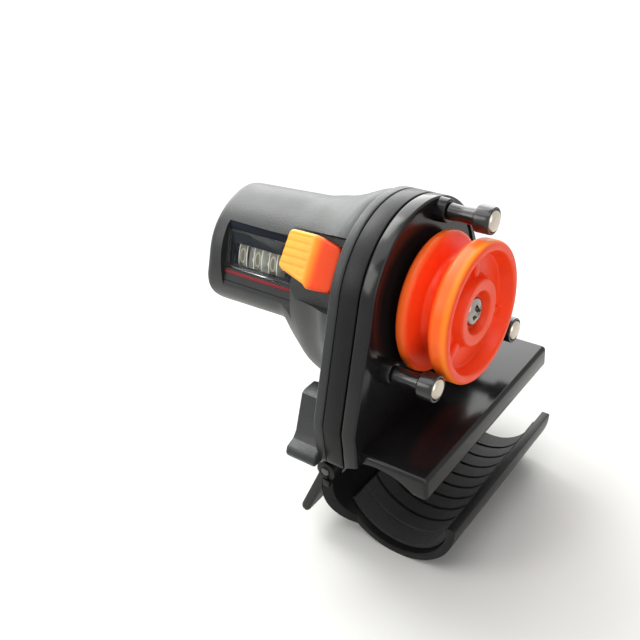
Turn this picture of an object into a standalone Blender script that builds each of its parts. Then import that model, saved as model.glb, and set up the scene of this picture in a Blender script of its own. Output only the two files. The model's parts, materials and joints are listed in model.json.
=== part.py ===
"""Fishing line counter that clips on a rod, built as separate solid pieces.

Frame: metres, +X along the wheel axis from the barrel to the wheel, +Y along the rod,
+Z up. Every size below is measured from the wheel axis. One empty, on which every piece
hangs, then moves the whole counter so that the world origin lies on the axis of the rod.
"""
import math

import bmesh
import bpy
from mathutils import Euler, Vector

# General values
GAP = 0.00025
TINY = 0.00002
STEPS = 32
STEPS_FINE = 44
STEPS_SMALL = 16
QUARTER = math.pi / 2
FULL = math.pi * 2

# Case outline and layers
CASE_RADIUS = 0.0255
SIDE_SLOPE = 0.36
FOOT_SPREAD = 0.0097
FOOT_HALF = CASE_RADIUS + FOOT_SPREAD
FOOT_BOTTOM = -0.0360
FOOT_CORNER = 0.0030
SEAM_REAR = -0.0110
SEAM_FRONT = -0.0055
FACE_X = -0.0012
FLANGE_BACK = -0.0140
CASE_EDGE = 0.0006
FACE_DISH_DEPTH = 0.0005
FACE_DISH_LIP = 0.0015
FACE_DISH_RADIUS = CASE_RADIUS - FACE_DISH_LIP
OUTLINE_ARC_POINTS = 28
CORNER_POINTS = 4

# Barrel
BARREL_END = -0.0630
BARREL_PROFILE = (
    (-0.0630, 0.0154),
    (-0.0627, 0.0165),
    (-0.0616, 0.0172),
    (-0.0580, 0.0176),
    (-0.0310, 0.0190),
)
FLARE_START = -0.0310
FLARE_END = -0.0135
FLARE_RISE = 0.0017
FLARE_RADIUS = CASE_RADIUS + FLARE_RISE
FLARE_DROP = 0.0034
FLARE_POWER = 3.2
FLARE_RINGS = 6
FLARE_INSET = 0.0008
LOBE_DROP = 0.0090
LOBE_INSETS = (
    (-0.0300, 0.0135),
    (-0.0286, 0.0087),
    (-0.0268, 0.0061),
    (-0.0235, 0.0046),
    (-0.0185, 0.0038),
    (-0.0158, 0.0024),
    (-0.0135, -0.0001),
)
LOBE_POCKET_INSET = 0.0071
LOBE_POCKET_RADIUS = CASE_RADIUS - LOBE_POCKET_INSET
LOBE_POCKET_BACK = -0.0240
BARREL_WALL = 0.0020
BARREL_POCKET_X = -0.0130
BARREL_POCKET_WALL = 0.0050
BARREL_POCKET_RADIUS = CASE_RADIUS - BARREL_POCKET_WALL
CAVITY_END = -0.0610

# Flat with window and lever recess
FLAT_TILT = math.radians(70.0)
FLAT_HEIGHT = 0.01545
FLAT_START = -0.0566
FLAT_END = -0.0146
FLAT_HALF_WIDTH = 0.0200
FLAT_WALL = 0.0017
FLAT_INSIDE = FLAT_HEIGHT - FLAT_WALL
WINDOW_START = -0.0564
WINDOW_END = -0.0330
WINDOW_LOW = -0.0041
WINDOW_HIGH = 0.0068
WINDOW_LEDGE = 0.0008
PANE_SINK = 0.00015
PANE_THICK = 0.0010
WINDOW_PANE_TOP = FLAT_HEIGHT - PANE_SINK
WINDOW_PANE_BOTTOM = WINDOW_PANE_TOP - PANE_THICK
STRIP_LOW = -0.0057
STRIP_HIGH = -0.0046
STRIP_DEPTH = 0.0006
STRIP_PROUD = 0.0001
PANEL_LINE_LOW = -0.0079
PANEL_LINE_HIGH = -0.0076
PANEL_LINE_DEPTH = 0.0003
PANEL_END_X = -0.0318

# Counter axis
DRUM_RADIUS = 0.0104
DRUM_TO_ROOF = 0.00075
COUNTER_OFFSET = FLAT_INSIDE - DRUM_RADIUS - DRUM_TO_ROOF
COUNTER_Y = -COUNTER_OFFSET * math.sin(FLAT_TILT)
COUNTER_Z = COUNTER_OFFSET * math.cos(FLAT_TILT)
COUNTER_SHAFT_RADIUS = 0.0015
COUNTER_SHAFT_FRONT = -0.0075
COUNTER_SHAFT_BACK = -0.0618
TUBE_RADIUS = 0.0031
TUBE_BACK = -0.0345
SHAFT_CLEAR = 0.00015

# Drums
DRUM_RIM = 0.0030
DRUM_PITCH = 0.0052
DRUM_COUNT = 3
UNITS_DRUM_X = -0.0432
CARRY_THICK = 0.0005
CAM_ZONE = 0.0009
CAM_THICK = 0.0005
RING_THICK = 0.0008
RING_TEETH = 20
PINION_TEETH = 8
DRUM_MODULE = 0.0008
CARRY_RADIUS = 0.0071
CAM_LOW = 0.0034
CAM_HIGH = 0.0062
CAM_FLAT_ANGLE = math.radians(38.0)
CAM_POINTS = 20

# Transfer pinions
PINION_ANGLE = math.radians(-20.0)
PINION_DISTANCE = DRUM_MODULE * (RING_TEETH + PINION_TEETH) / 2 + 0.00015
PINION_SHAFT_RADIUS = 0.0008
PINION_WIDTH = 0.0018
PINION_SHAFT_FRONT = -0.0100
PINION_SHAFT_BACK = -0.0618

# Gear train
GEAR_TEETH = 40
SMALL_TEETH = 8
PRESSURE_ANGLE = math.radians(25.0)
ADDENDUM_SHARE = 0.72
DEDENDUM_SHARE = 1.00
BACKLASH = 0.00012
CHAMBER_WALL = 0.0029
CHAMBER_RADIUS = CASE_RADIUS - CHAMBER_WALL
GEAR_TO_CHAMBER = 0.00024
GEAR_MODULE = (CHAMBER_RADIUS - GEAR_TO_CHAMBER) / (GEAR_TEETH + SMALL_TEETH / 2 + ADDENDUM_SHARE)
GEAR_DISTANCE = GEAR_MODULE * (GEAR_TEETH + SMALL_TEETH) / 2 + 0.00006
GEAR_THICK = 0.0015
LAYER_ONE = (-0.0053, -0.0038)
LAYER_TWO = (-0.0072, -0.0057)
LAYER_THREE = (-0.0091, -0.0076)
IDLER_ONE_ANGLE = math.radians(75.0)
POST_RADIUS = 0.00075
POST_FRONT = -0.0024
POST_BACK = -0.0104
CHAMBER_FRONT = -0.0034
CHAMBER_BACK = -0.0096

# Line wheel, whose axis lies a little below the middle of the arch
WHEEL_DROP = 0.0010
WHEEL_GROOVE_RADIUS = 0.01273
WHEEL_SHAFT_RADIUS = 0.0015
WHEEL_SPIGOT_RADIUS = 0.0008
WHEEL_SHAFT_BACK = -0.0054
WHEEL_SHAFT_FRONT = 0.0110
WHEEL_BORE_CLEAR = 0.00012
WHEEL_INSET = 0.0070
WHEEL_RADIUS = CASE_RADIUS - WHEEL_INSET
WHEEL_BACK = 0.0005
WHEEL_FRONT = 0.0149
RIM_ROUND = 0.0007
RIM_CROWN = 0.0001
RIM_EDGE = 0.0010
RIM_WIDTH = 0.0054
RIM_CROWN_PLACE = 0.0027
RIM_SHOULDER_PLACE = 0.0046
BACK_RIM_WIDTH = 0.0032
BACK_RIM_FLAT = 0.0025
GROOVE_START = 0.0047
GROOVE_END = 0.0073
GROOVE_BOTTOM = 0.0007
GROOVE_RISE = 0.00027
RIM_INNER = 0.0021
RIM_INNER_STEP = 0.0025
RIM_INNER_DROP = 0.0003
WEB_FRONT = 0.0110
WEB_OUTER = 0.0034
HUB_FRONT = 0.0138
HUB_EDGE = 0.0004
HUB_FOOT_RADIUS = 0.0097
HUB_SHOULDER_RADIUS = 0.0090
HUB_TOP_RADIUS = 0.0085
HUB_MOUTH_RADIUS = 0.0062
HUB_LIP_RADIUS = 0.0058
HUB_LIP = 0.0003
HUB_POCKET_RADIUS = 0.0051
HUB_POCKET = 0.0112
WHEEL_BORE = WHEEL_SHAFT_RADIUS + WHEEL_BORE_CLEAR
WHEEL_PROFILE = (
    (WHEEL_FRONT, WHEEL_RADIUS - RIM_ROUND),
    (WHEEL_FRONT - RIM_EDGE, WHEEL_RADIUS - RIM_CROWN),
    (WHEEL_FRONT - RIM_CROWN_PLACE, WHEEL_RADIUS),
    (WHEEL_FRONT - RIM_SHOULDER_PLACE, WHEEL_RADIUS - RIM_CROWN),
    (WHEEL_FRONT - RIM_WIDTH, WHEEL_RADIUS - RIM_ROUND - RIM_CROWN),
    (GROOVE_END, WHEEL_GROOVE_RADIUS + GROOVE_RISE),
    (GROOVE_END - GROOVE_BOTTOM, WHEEL_GROOVE_RADIUS),
    (GROOVE_START + GROOVE_BOTTOM, WHEEL_GROOVE_RADIUS),
    (GROOVE_START, WHEEL_GROOVE_RADIUS + GROOVE_RISE),
    (WHEEL_BACK + BACK_RIM_WIDTH, WHEEL_RADIUS - RIM_ROUND),
    (WHEEL_BACK + BACK_RIM_FLAT, WHEEL_RADIUS),
    (WHEEL_BACK + WHEEL_BACK, WHEEL_RADIUS),
    (WHEEL_BACK, WHEEL_RADIUS - RIM_ROUND),
    (WHEEL_BACK, WHEEL_BORE),
    (HUB_POCKET, WHEEL_BORE),
    (HUB_POCKET, HUB_POCKET_RADIUS),
    (HUB_FRONT - HUB_LIP, HUB_LIP_RADIUS),
    (HUB_FRONT, HUB_MOUTH_RADIUS),
    (HUB_FRONT, HUB_TOP_RADIUS),
    (HUB_FRONT - HUB_EDGE, HUB_SHOULDER_RADIUS),
    (WEB_FRONT, HUB_FOOT_RADIUS),
    (WEB_FRONT, WHEEL_RADIUS - WEB_OUTER),
    (WHEEL_FRONT - RIM_INNER_DROP, WHEEL_RADIUS - RIM_INNER_STEP),
    (WHEEL_FRONT, WHEEL_RADIUS - RIM_INNER),
)
SCREW_HEAD_RADIUS = 0.0037
SCREW_HEAD_BACK = 0.0113
SCREW_HEAD_FRONT = 0.0134
SCREW_SLOT_WIDTH = 0.0009
SCREW_SLOT_LENGTH = 0.0044
SCREW_SLOT_DEPTH = 0.0009
BUSH_RADIUS = 0.0027
BUSH_BACK = -0.0034
BUSH_FRONT = 0.0001

# Guide posts
TOP_POST_SIDE = 0.0072
TOP_POST_INSET = 0.0046
NEAR_POST_INSET = 0.0053
NEAR_POST_Z = -0.0113
FAR_POST_INSET = 0.0055
FAR_POST_Z = -0.0180
POST_PLACES = (
    ("top", TOP_POST_SIDE, CASE_RADIUS - TOP_POST_INSET),
    ("near", NEAR_POST_INSET - CASE_RADIUS, NEAR_POST_Z),
    ("far", CASE_RADIUS - FAR_POST_INSET, FAR_POST_Z),
)
BOSS_RADIUS = 0.0031
BOSS_FRONT = 0.0014
ROLLER_RADIUS = 0.0022
ROLLER_BACK = 0.0017
ROLLER_FRONT = 0.0090
ROLLER_WAIST = 0.0020
COLLAR_RADIUS = 0.0035
COLLAR_BACK = 0.0093
COLLAR_FRONT = 0.0136
GUIDE_PIN_RADIUS = 0.0009
GUIDE_PIN_BACK = -0.0026
GUIDE_HEAD_RADIUS = 0.0028
GUIDE_HEAD_BACK = 0.0129
GUIDE_HEAD_FRONT = 0.0143

# Saddle and rod seat
ROD_RADIUS = 0.0150
PAD_THICK = 0.0012
ARCH_RADIUS = ROD_RADIUS + PAD_THICK + GAP
SADDLE_TOP = -0.0294
SADDLE_WALL = 0.00215
ROD_X = 0.0032
ROD_Z = SADDLE_TOP - SADDLE_WALL - ARCH_RADIUS
SADDLE_FRONT = 0.0175
SADDLE_INSET = 0.0024
SADDLE_HALF = FOOT_HALF - SADDLE_INSET
SADDLE_CHAMFER = 0.0012
PAD_HALF_ANGLE = math.radians(34.0)
PAD_INSET = 0.0028
PAD_HALF_LENGTH = SADDLE_HALF - PAD_INSET

# Upper handle on the rear shell
HANDLE_BACK = -0.0222
HANDLE_REACH = 0.0028
HANDLE_HALF = FOOT_HALF + HANDLE_REACH
HANDLE_RISE = 0.0008
HANDLE_BOTTOM = FOOT_BOTTOM + HANDLE_RISE
CHEEK_INSETS = (
    (0.0002, 0.0),
    (-0.0001, 0.0014),
    (0.0006, 0.0030),
    (0.0034, 0.0038),
    (0.0048, 0.0053),
    (0.0090, 0.0149),
    (0.0104, 0.0155),
    (0.0142, 0.0154),
    (0.0154, 0.0144),
    (0.0162, 0.0030),
)
JAW_INSET = 0.0050
JAW_HALF = HANDLE_HALF - JAW_INSET
KNUCKLE_LENGTH = 0.0062
JAW_KNUCKLE_INNER = JAW_HALF - KNUCKLE_LENGTH
LUG_CLEAR = 0.0003
LUG_WIDTH = 0.0060
LUG_OUTER = JAW_KNUCKLE_INNER - LUG_CLEAR
LUG_INNER = LUG_OUTER - LUG_WIDTH
KNUCKLE_RADIUS = 0.0029
JAW_INNER = ARCH_RADIUS
JAW_THICK = 0.00225
JAW_OUTER = JAW_INNER + JAW_THICK
PIVOT_INSET = 0.0013
PIVOT_X = ROD_X - JAW_OUTER + PIVOT_INSET
PIVOT_DROP = 0.0054
PIVOT_Z = FOOT_BOTTOM - PIVOT_DROP
PIVOT_PIN_RADIUS = 0.00125
PIVOT_PIN_INSET = 0.0003
PIVOT_PIN_HALF = JAW_HALF - PIVOT_PIN_INSET
OVERRUN = 0.0050
LUG_RISE = 0.0064
LUG_TOP = PIVOT_Z + LUG_RISE

# Clamp jaw
JAW_START = math.radians(166.0)
JAW_END = math.radians(358.0)
JAW_LIP_INSET = 0.0058
JAW_LIP_PLACE = 0.0052
JAW_ARM_PLACE = 0.0014
JAW_LIP_X = PIVOT_X + JAW_LIP_PLACE
JAW_ARM_X = PIVOT_X - JAW_ARM_PLACE
JAW_CORNER_OVER = 0.0002
JAW_CORNER = (
    (JAW_LIP_X, JAW_HALF - JAW_LIP_INSET),
    (JAW_ARM_X, JAW_HALF + JAW_CORNER_OVER),
    (JAW_ARM_X, JAW_HALF + OVERRUN),
    (FOOT_HALF, JAW_HALF + OVERRUN),
    (FOOT_HALF, JAW_HALF - JAW_LIP_INSET),
)
JAW_ARM_DROP = 0.0046
JAW_ARM_TOP = PIVOT_Z - JAW_ARM_DROP
JAW_POINTS = 24
JAW_CLEAR_RADIUS = 0.0045
TAIL_REACH = 0.0085
TAIL_DROP = 0.0170
TAIL_TIP_X = PIVOT_X - TAIL_REACH
TAIL_TIP_Z = PIVOT_Z - TAIL_DROP
TAIL_HALF_THICK = 0.0014
BRIDGE_DEPTH = 0.00207606
JAW_PAD_START = math.radians(205.0)
JAW_PAD_END = math.radians(345.0)
JAW_PAD_INSET = 0.0075
JAW_PAD_HALF = JAW_HALF - JAW_PAD_INSET
PAD_RIBS = 5

# Clamp spring
SPRING_WIRE = 0.00045
SPRING_RADIUS = 0.0019
SPRING_TURNS = 7
SPRING_LENGTH = 0.0100
SPRING_LEG = 0.0095
SPRING_SEAT_INSET = 0.0007
SPRING_SEAT_X = HANDLE_BACK + SPRING_SEAT_INSET
SPRING_POINTS = 10

# Reset lever, comb and spring
KNOB_TILT = math.radians(52.0)
KNOB_BOTTOM = 0.0181
KNOB_TOP = 0.0220
KNOB_OUTLINE = (
    (-0.0332, -0.0046),
    (-0.0328, 0.0057),
    (-0.0243, 0.0058),
    (-0.0162, 0.0042),
    (-0.0156, -0.0074),
    (-0.0235, -0.0079),
    (-0.0244, -0.0070),
)
KNOB_SLOPE_START = -0.0243
KNOB_SLOPE_END_DROP = 0.0030
KNOB_RIBS = 5
KNOB_RIB_HEIGHT = 0.0003
KNOB_RIB_WIDTH = 0.0008
KNOB_RIB_PITCH = 0.0020
KNOB_RIB_LENGTH = 0.0070
KNOB_RIB_CENTRE = -0.0286
KNOB_EDGE = 0.0006
RECESS_HEIGHT = 0.0173
RECESS_START = -0.0346
RECESS_LOW = -0.0090
RECESS_HIGH = 0.0066
PRESS_ANGLE = math.radians(11.0)
PRESSED_FLOOR = 0.0148
PRESSED_LOW = -0.0077
PRESSED_HIGH = 0.0066
NECK_START = -0.0280
NECK_END = -0.0220
NECK_HALF = 0.0019
NECK_BOTTOM = 0.0045
SLOT_START = -0.0286
SLOT_END = -0.0214
SLOT_LOW = -0.0012
SLOT_HIGH = 0.0072
HUB_RADIUS = 0.0052
COMB_ANGLE = math.radians(-95.0)
COMB_DISTANCE = 0.0122
COMB_LEAN = math.radians(37.35)
COMB_SWING = math.radians(16.5)
COMB_ROD_RADIUS = 0.0007
COMB_HUB_RADIUS = 0.0014
COMB_FINGER_WIDTH = 0.0016
COMB_FINGER_THICK = 0.0004
COMB_FINGER_LENGTH = 0.0113
ZERO_FLAT_ANGLE = COMB_ANGLE + math.pi + COMB_LEAN - COMB_SWING + QUARTER
CRANK_LENGTH = 0.0053
CRANK_LOW = 0.0002
CRANK_HIGH = 0.0016
NOSE_START = 0.0042
NOSE_REACH = 0.0082
NOSE_LOW = -0.0019
NOSE_HIGH = -0.0003
COMB_FRONT = -0.0215
COMB_BACK = -0.0556
COMB_ROD_FRONT = -0.0100
COMB_ROD_BACK = -0.0618
CRANK_START = -0.0262
CRANK_END = -0.0238
RESET_WIRE = 0.00025
RESET_RADIUS = 0.0038
RESET_TURNS = 4
RESET_FRONT = -0.0125
RESET_BACK = -0.0200

# Case screws
CASE_SCREW_INSET = 0.0077
CASE_SCREW_RISE = 0.0098
SCREW_PLACES = (
    ("near", CASE_SCREW_INSET - FOOT_HALF, FOOT_BOTTOM + CASE_SCREW_RISE),
    ("far", FOOT_HALF - CASE_SCREW_INSET, FOOT_BOTTOM + CASE_SCREW_RISE),
)
CASE_SCREW_RADIUS = 0.0011
CASE_SCREW_HEAD = 0.0022
CASE_SCREW_HEAD_BACK = -0.0196
CASE_SCREW_HEAD_FRONT = -0.0180
CASE_SCREW_TIP = -0.0030
CASE_SCREW_POCKET = 0.0026

# Colours for the plain view
BLACK = (0.02, 0.02, 0.022, 1.0)
ORANGE = (0.95, 0.20, 0.05, 1.0)
AMBER = (1.0, 0.42, 0.06, 1.0)
STEEL = (0.62, 0.62, 0.60, 1.0)
BRASS = (0.72, 0.55, 0.28, 1.0)
WHITE = (0.82, 0.82, 0.78, 1.0)
RED = (0.60, 0.08, 0.07, 1.0)
CLEAR = (0.75, 0.80, 0.82, 1.0)
RUBBER = (0.03, 0.03, 0.03, 1.0)


def clear_scene():
    """Removes every object so that the build starts empty."""
    for item in list(bpy.data.objects):
        bpy.data.objects.remove(item, do_unlink=True)


def new_collection(name):
    """Makes a collection and links it to the scene."""
    group = bpy.data.collections.new(name)
    bpy.context.scene.collection.children.link(group)
    return group


def finish_material(name, colour, metallic, roughness):
    """Makes one Principled material."""
    material = bpy.data.materials.new(name)
    material.use_nodes = True
    shader = material.node_tree.nodes["Principled BSDF"]
    shader.inputs["Base Color"].default_value = colour
    shader.inputs["Metallic"].default_value = metallic
    shader.inputs["Roughness"].default_value = roughness
    return material


class Workshop:
    """Keeps the two collections and puts each object in the right one."""

    def __init__(self):
        self.parts = new_collection("fishing_line_counter")
        self.tools = new_collection("cutters")
        self.count = 0
        self.frame = bpy.data.objects.new("rod_frame", None)
        self.frame.location = (-ROD_X, 0.0, -ROD_Z)
        self.parts.objects.link(self.frame)

    def tool(self, item):
        """Hides an object that only cuts or joins."""
        self.count += 1
        item.name = "tool_%03d" % self.count
        item.parent = self.frame
        self.tools.objects.link(item)
        item.hide_render = True
        item.display_type = "WIRE"
        return item

    def part(self, item, name, colour, metallic, roughness):
        """Names a finished piece and gives it its own material."""
        item.name = name
        item.parent = self.frame
        item.data.name = name
        self.parts.objects.link(item)
        item.data.materials.clear()
        item.data.materials.append(finish_material("mat_" + name, colour, metallic, roughness))
        return item


def mesh_object(bm, location=(0.0, 0.0, 0.0), rotation=(0.0, 0.0, 0.0)):
    """Turns a bmesh into an object that no collection holds yet."""
    bmesh.ops.recalc_face_normals(bm, faces=bm.faces)
    mesh = bpy.data.meshes.new("mesh")
    bm.to_mesh(mesh)
    bm.free()
    item = bpy.data.objects.new("item", mesh)
    item.location = location
    item.rotation_euler = rotation
    return item


def prism(outline, start, end, axis="X", location=(0.0, 0.0, 0.0), rotation=(0.0, 0.0, 0.0)):
    """Extrudes a flat outline along X, Y or Z."""
    bm = bmesh.new()
    ring = []
    for first, second in outline:
        if axis == "X":
            ring.append(bm.verts.new((start, first, second)))
        elif axis == "Y":
            ring.append(bm.verts.new((first, start, second)))
        else:
            ring.append(bm.verts.new((first, second, start)))
    face = bm.faces.new(ring)
    grown = bmesh.ops.extrude_face_region(bm, geom=[face])
    moved = [v for v in grown["geom"] if isinstance(v, bmesh.types.BMVert)]
    shift = {"X": (end - start, 0, 0), "Y": (0, end - start, 0), "Z": (0, 0, end - start)}[axis]
    bmesh.ops.translate(bm, verts=moved, vec=shift)
    return mesh_object(bm, location, rotation)


def box(low, high, location=(0.0, 0.0, 0.0), rotation=(0.0, 0.0, 0.0)):
    """Makes a box between two corners."""
    outline = ((low[1], low[2]), (high[1], low[2]), (high[1], high[2]), (low[1], high[2]))
    return prism(outline, low[0], high[0], "X", location, rotation)


def circle(radius, steps, centre=(0.0, 0.0)):
    """Gives the points of a circle."""
    points = []
    for index in range(steps):
        angle = FULL * index / steps
        points.append((centre[0] + radius * math.cos(angle), centre[1] + radius * math.sin(angle)))
    return points


def rod_x(radius, start, end, centre=(0.0, 0.0), steps=STEPS_SMALL):
    """Makes a round bar along X with its origin on its own axis."""
    return prism(circle(radius, steps), start, end, "X", (0.0, centre[0], centre[1]))


def rod_y(radius, start, end, centre=(0.0, 0.0), steps=STEPS_SMALL):
    """Makes a round bar along Y with its origin on its own axis."""
    return prism(circle(radius, steps), start, end, "Y", (centre[0], 0.0, centre[1]))


def lathe(profile, centre=(0.0, 0.0), steps=STEPS, closed=False):
    """Turns a profile of (x, radius) pairs about X with a Screw modifier."""
    bm = bmesh.new()
    verts = [bm.verts.new((radius, 0.0, along)) for along, radius in profile]
    for first, second in zip(verts, verts[1:]):
        bm.edges.new((first, second))
    if closed:
        bm.edges.new((verts[-1], verts[0]))
    mesh = bpy.data.meshes.new("mesh")
    bm.to_mesh(mesh)
    bm.free()
    item = bpy.data.objects.new("item", mesh)
    item.location = (0.0, centre[0], centre[1])
    item.rotation_euler = (0.0, QUARTER, 0.0)
    turn = item.modifiers.new("turn", "SCREW")
    turn.axis = "Z"
    turn.angle = FULL
    turn.steps = steps
    turn.render_steps = steps
    turn.use_merge_vertices = True
    turn.merge_threshold = 0.00001
    return item


def bevel(item, width, segments=1, limit=math.radians(40.0)):
    """Rounds the edges of a piece."""
    edge = item.modifiers.new("edge", "BEVEL")
    edge.width = width
    edge.segments = segments
    edge.limit_method = "ANGLE"
    edge.angle_limit = limit
    return item


def combine(item, tool, operation):
    """Adds one exact boolean."""
    step = item.modifiers.new("step", "BOOLEAN")
    step.operation = operation
    step.solver = "EXACT"
    step.object = tool
    return item


def cut(shop, item, tool):
    """Takes a tool away from a piece."""
    return combine(item, shop.tool(tool), "DIFFERENCE")


def join(shop, item, tool):
    """Adds a tool to a piece."""
    return combine(item, shop.tool(tool), "UNION")


def keep(shop, item, tool):
    """Keeps what a piece and a tool share."""
    return combine(item, shop.tool(tool), "INTERSECT")


def wire_path(points, radius, location=(0.0, 0.0, 0.0)):
    """Makes a bent wire as one closed tube."""
    curve = bpy.data.curves.new("wire", "CURVE")
    curve.dimensions = "3D"
    curve.bevel_depth = radius
    curve.bevel_resolution = 1
    curve.use_fill_caps = True
    line = curve.splines.new("POLY")
    line.points.add(len(points) - 1)
    for slot, point in zip(line.points, points):
        slot.co = (point[0], point[1], point[2], 1.0)
    holder = bpy.data.objects.new("wire", curve)
    bpy.context.scene.collection.objects.link(holder)
    bpy.context.view_layer.update()
    graph = bpy.context.evaluated_depsgraph_get()
    mesh = bpy.data.meshes.new_from_object(holder.evaluated_get(graph))
    bpy.data.objects.remove(holder, do_unlink=True)
    bm = bmesh.new()
    bm.from_mesh(mesh)
    bmesh.ops.remove_doubles(bm, verts=bm.verts, dist=0.000001)
    return mesh_object(bm, location)


def case_outline(shrink=0.0):
    """Gives the arched outline of the case layers, seen along the wheel axis."""
    radius = CASE_RADIUS - shrink
    half = FOOT_HALF - shrink
    bottom = FOOT_BOTTOM + shrink
    slope_length = math.sqrt(1 + SIDE_SLOPE ** 2)
    tangent = math.atan(SIDE_SLOPE)
    knee = -(half - radius * slope_length) / SIDE_SLOPE
    points = []
    start = tangent
    end = math.pi - tangent
    for index in range(OUTLINE_ARC_POINTS + 1):
        angle = start + (end - start) * index / OUTLINE_ARC_POINTS
        points.append((radius * math.cos(angle), radius * math.sin(angle)))
    points.append((-half, knee))
    corner = FOOT_CORNER
    for index in range(CORNER_POINTS + 1):
        angle = math.pi + QUARTER * index / CORNER_POINTS
        points.append((-half + corner + corner * math.cos(angle), bottom + corner + corner * math.sin(angle)))
    for index in range(CORNER_POINTS + 1):
        angle = math.pi + QUARTER + QUARTER * index / CORNER_POINTS
        points.append((half - corner + corner * math.cos(angle), bottom + corner + corner * math.sin(angle)))
    points.append((half, knee))
    return points


def involute_half_angle(radius, base, pitch_half, involute_pitch):
    """Gives half of the tooth angle at a radius."""
    inside = max(radius, base)
    pressure = math.acos(base / inside)
    return pitch_half + involute_pitch - (math.tan(pressure) - pressure)


def gear_outline(teeth, module, turn=0.0, addendum=ADDENDUM_SHARE, dedendum=DEDENDUM_SHARE):
    """Gives the outline of an involute spur gear with backlash taken from its teeth."""
    pitch = module * teeth / 2
    base = pitch * math.cos(PRESSURE_ANGLE)
    tip = pitch + module * addendum
    root = pitch - module * dedendum
    pitch_half = (math.pi * module / 2 - BACKLASH) / (2 * pitch)
    involute_pitch = math.tan(PRESSURE_ANGLE) - PRESSURE_ANGLE
    radii = (root, pitch, tip) if teeth < RING_TEETH else (root, tip)
    halves = [involute_half_angle(r, base, pitch_half, involute_pitch) for r in radii]
    points = []
    for tooth in range(teeth):
        centre = turn + FULL * tooth / teeth
        for radius, half in zip(radii, halves):
            angle = centre - half
            points.append((radius * math.cos(angle), radius * math.sin(angle)))
        for radius, half in zip(reversed(radii), reversed(halves)):
            angle = centre + half
            points.append((radius * math.cos(angle), radius * math.sin(angle)))
    return points


def gear(teeth, module, layer, centre, turn):
    """Makes one spur gear along X."""
    return prism(gear_outline(teeth, module, turn), layer[0], layer[1], "X", (0.0, centre[0], centre[1]))


def mesh_turn(driver, driver_teeth, driver_turn, driven, driven_teeth):
    """Gives the turn that puts a gap of the driven gear on a tooth of the driver."""
    line = math.atan2(driven[1] - driver[1], driven[0] - driver[0])
    tooth_place = (line - driver_turn) * driver_teeth / FULL
    offset = tooth_place - math.floor(tooth_place)
    return line + math.pi + (FULL / driven_teeth) * (0.5 + offset)


def meeting_point(first, first_distance, second, second_distance):
    """Gives the point that lies at two distances from two centres, on the left side."""
    dx = second[0] - first[0]
    dz = second[1] - first[1]
    between = math.hypot(dx, dz)
    along = (first_distance ** 2 - second_distance ** 2 + between ** 2) / (2 * between)
    across = math.sqrt(first_distance ** 2 - along ** 2)
    return (
        first[0] + along * dx / between - across * dz / between,
        first[1] + along * dz / between + across * dx / between,
    )


COUNTER = (COUNTER_Y, COUNTER_Z)
ARCH = (0.0, 0.0)
AXIS = (0.0, -WHEEL_DROP)
IDLER_ONE = (
    AXIS[0] + GEAR_DISTANCE * math.cos(IDLER_ONE_ANGLE),
    AXIS[1] + GEAR_DISTANCE * math.sin(IDLER_ONE_ANGLE),
)
IDLER_TWO = meeting_point(IDLER_ONE, GEAR_DISTANCE, COUNTER, GEAR_DISTANCE)
PINION = (
    COUNTER_Y + PINION_DISTANCE * math.cos(PINION_ANGLE),
    COUNTER_Z + PINION_DISTANCE * math.sin(PINION_ANGLE),
)
COMB = (COUNTER_Y + COMB_DISTANCE * math.cos(COMB_ANGLE), COUNTER_Z + COMB_DISTANCE * math.sin(COMB_ANGLE))


def ring_skin(rings, steps):
    """Skins circles given as (x, radius, y, z) and closes both ends."""
    bm = bmesh.new()
    loops = []
    for along, radius, side, height in rings:
        loop = []
        for index in range(steps):
            angle = FULL * index / steps
            point = (along, side + radius * math.cos(angle), height + radius * math.sin(angle))
            loop.append(bm.verts.new(point))
        loops.append(loop)
    for low, high in zip(loops, loops[1:]):
        for index in range(steps):
            after = (index + 1) % steps
            bm.faces.new((low[index], low[after], high[after], high[index]))
    bm.faces.new(loops[0])
    bm.faces.new(loops[-1])
    return mesh_object(bm)


def lug_outline():
    """Gives the outline of a pivot lug: a half round below and a block above."""
    points = []
    for index in range(STEPS_SMALL // 2 + 1):
        angle = -math.pi * index / (STEPS_SMALL // 2)
        points.append((KNUCKLE_RADIUS * math.cos(angle), KNUCKLE_RADIUS * math.sin(angle)))
    points.append((-KNUCKLE_RADIUS, LUG_TOP - PIVOT_Z))
    points.append((KNUCKLE_RADIUS, LUG_TOP - PIVOT_Z))
    return points


def handle_outline():
    """Gives the end view of the upper handle: a plate with a raised cheek at each end."""
    near = [(inset - HANDLE_HALF, HANDLE_BOTTOM + rise) for inset, rise in CHEEK_INSETS]
    far = [(-side, height) for side, height in reversed(near)]
    return near + far


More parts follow.
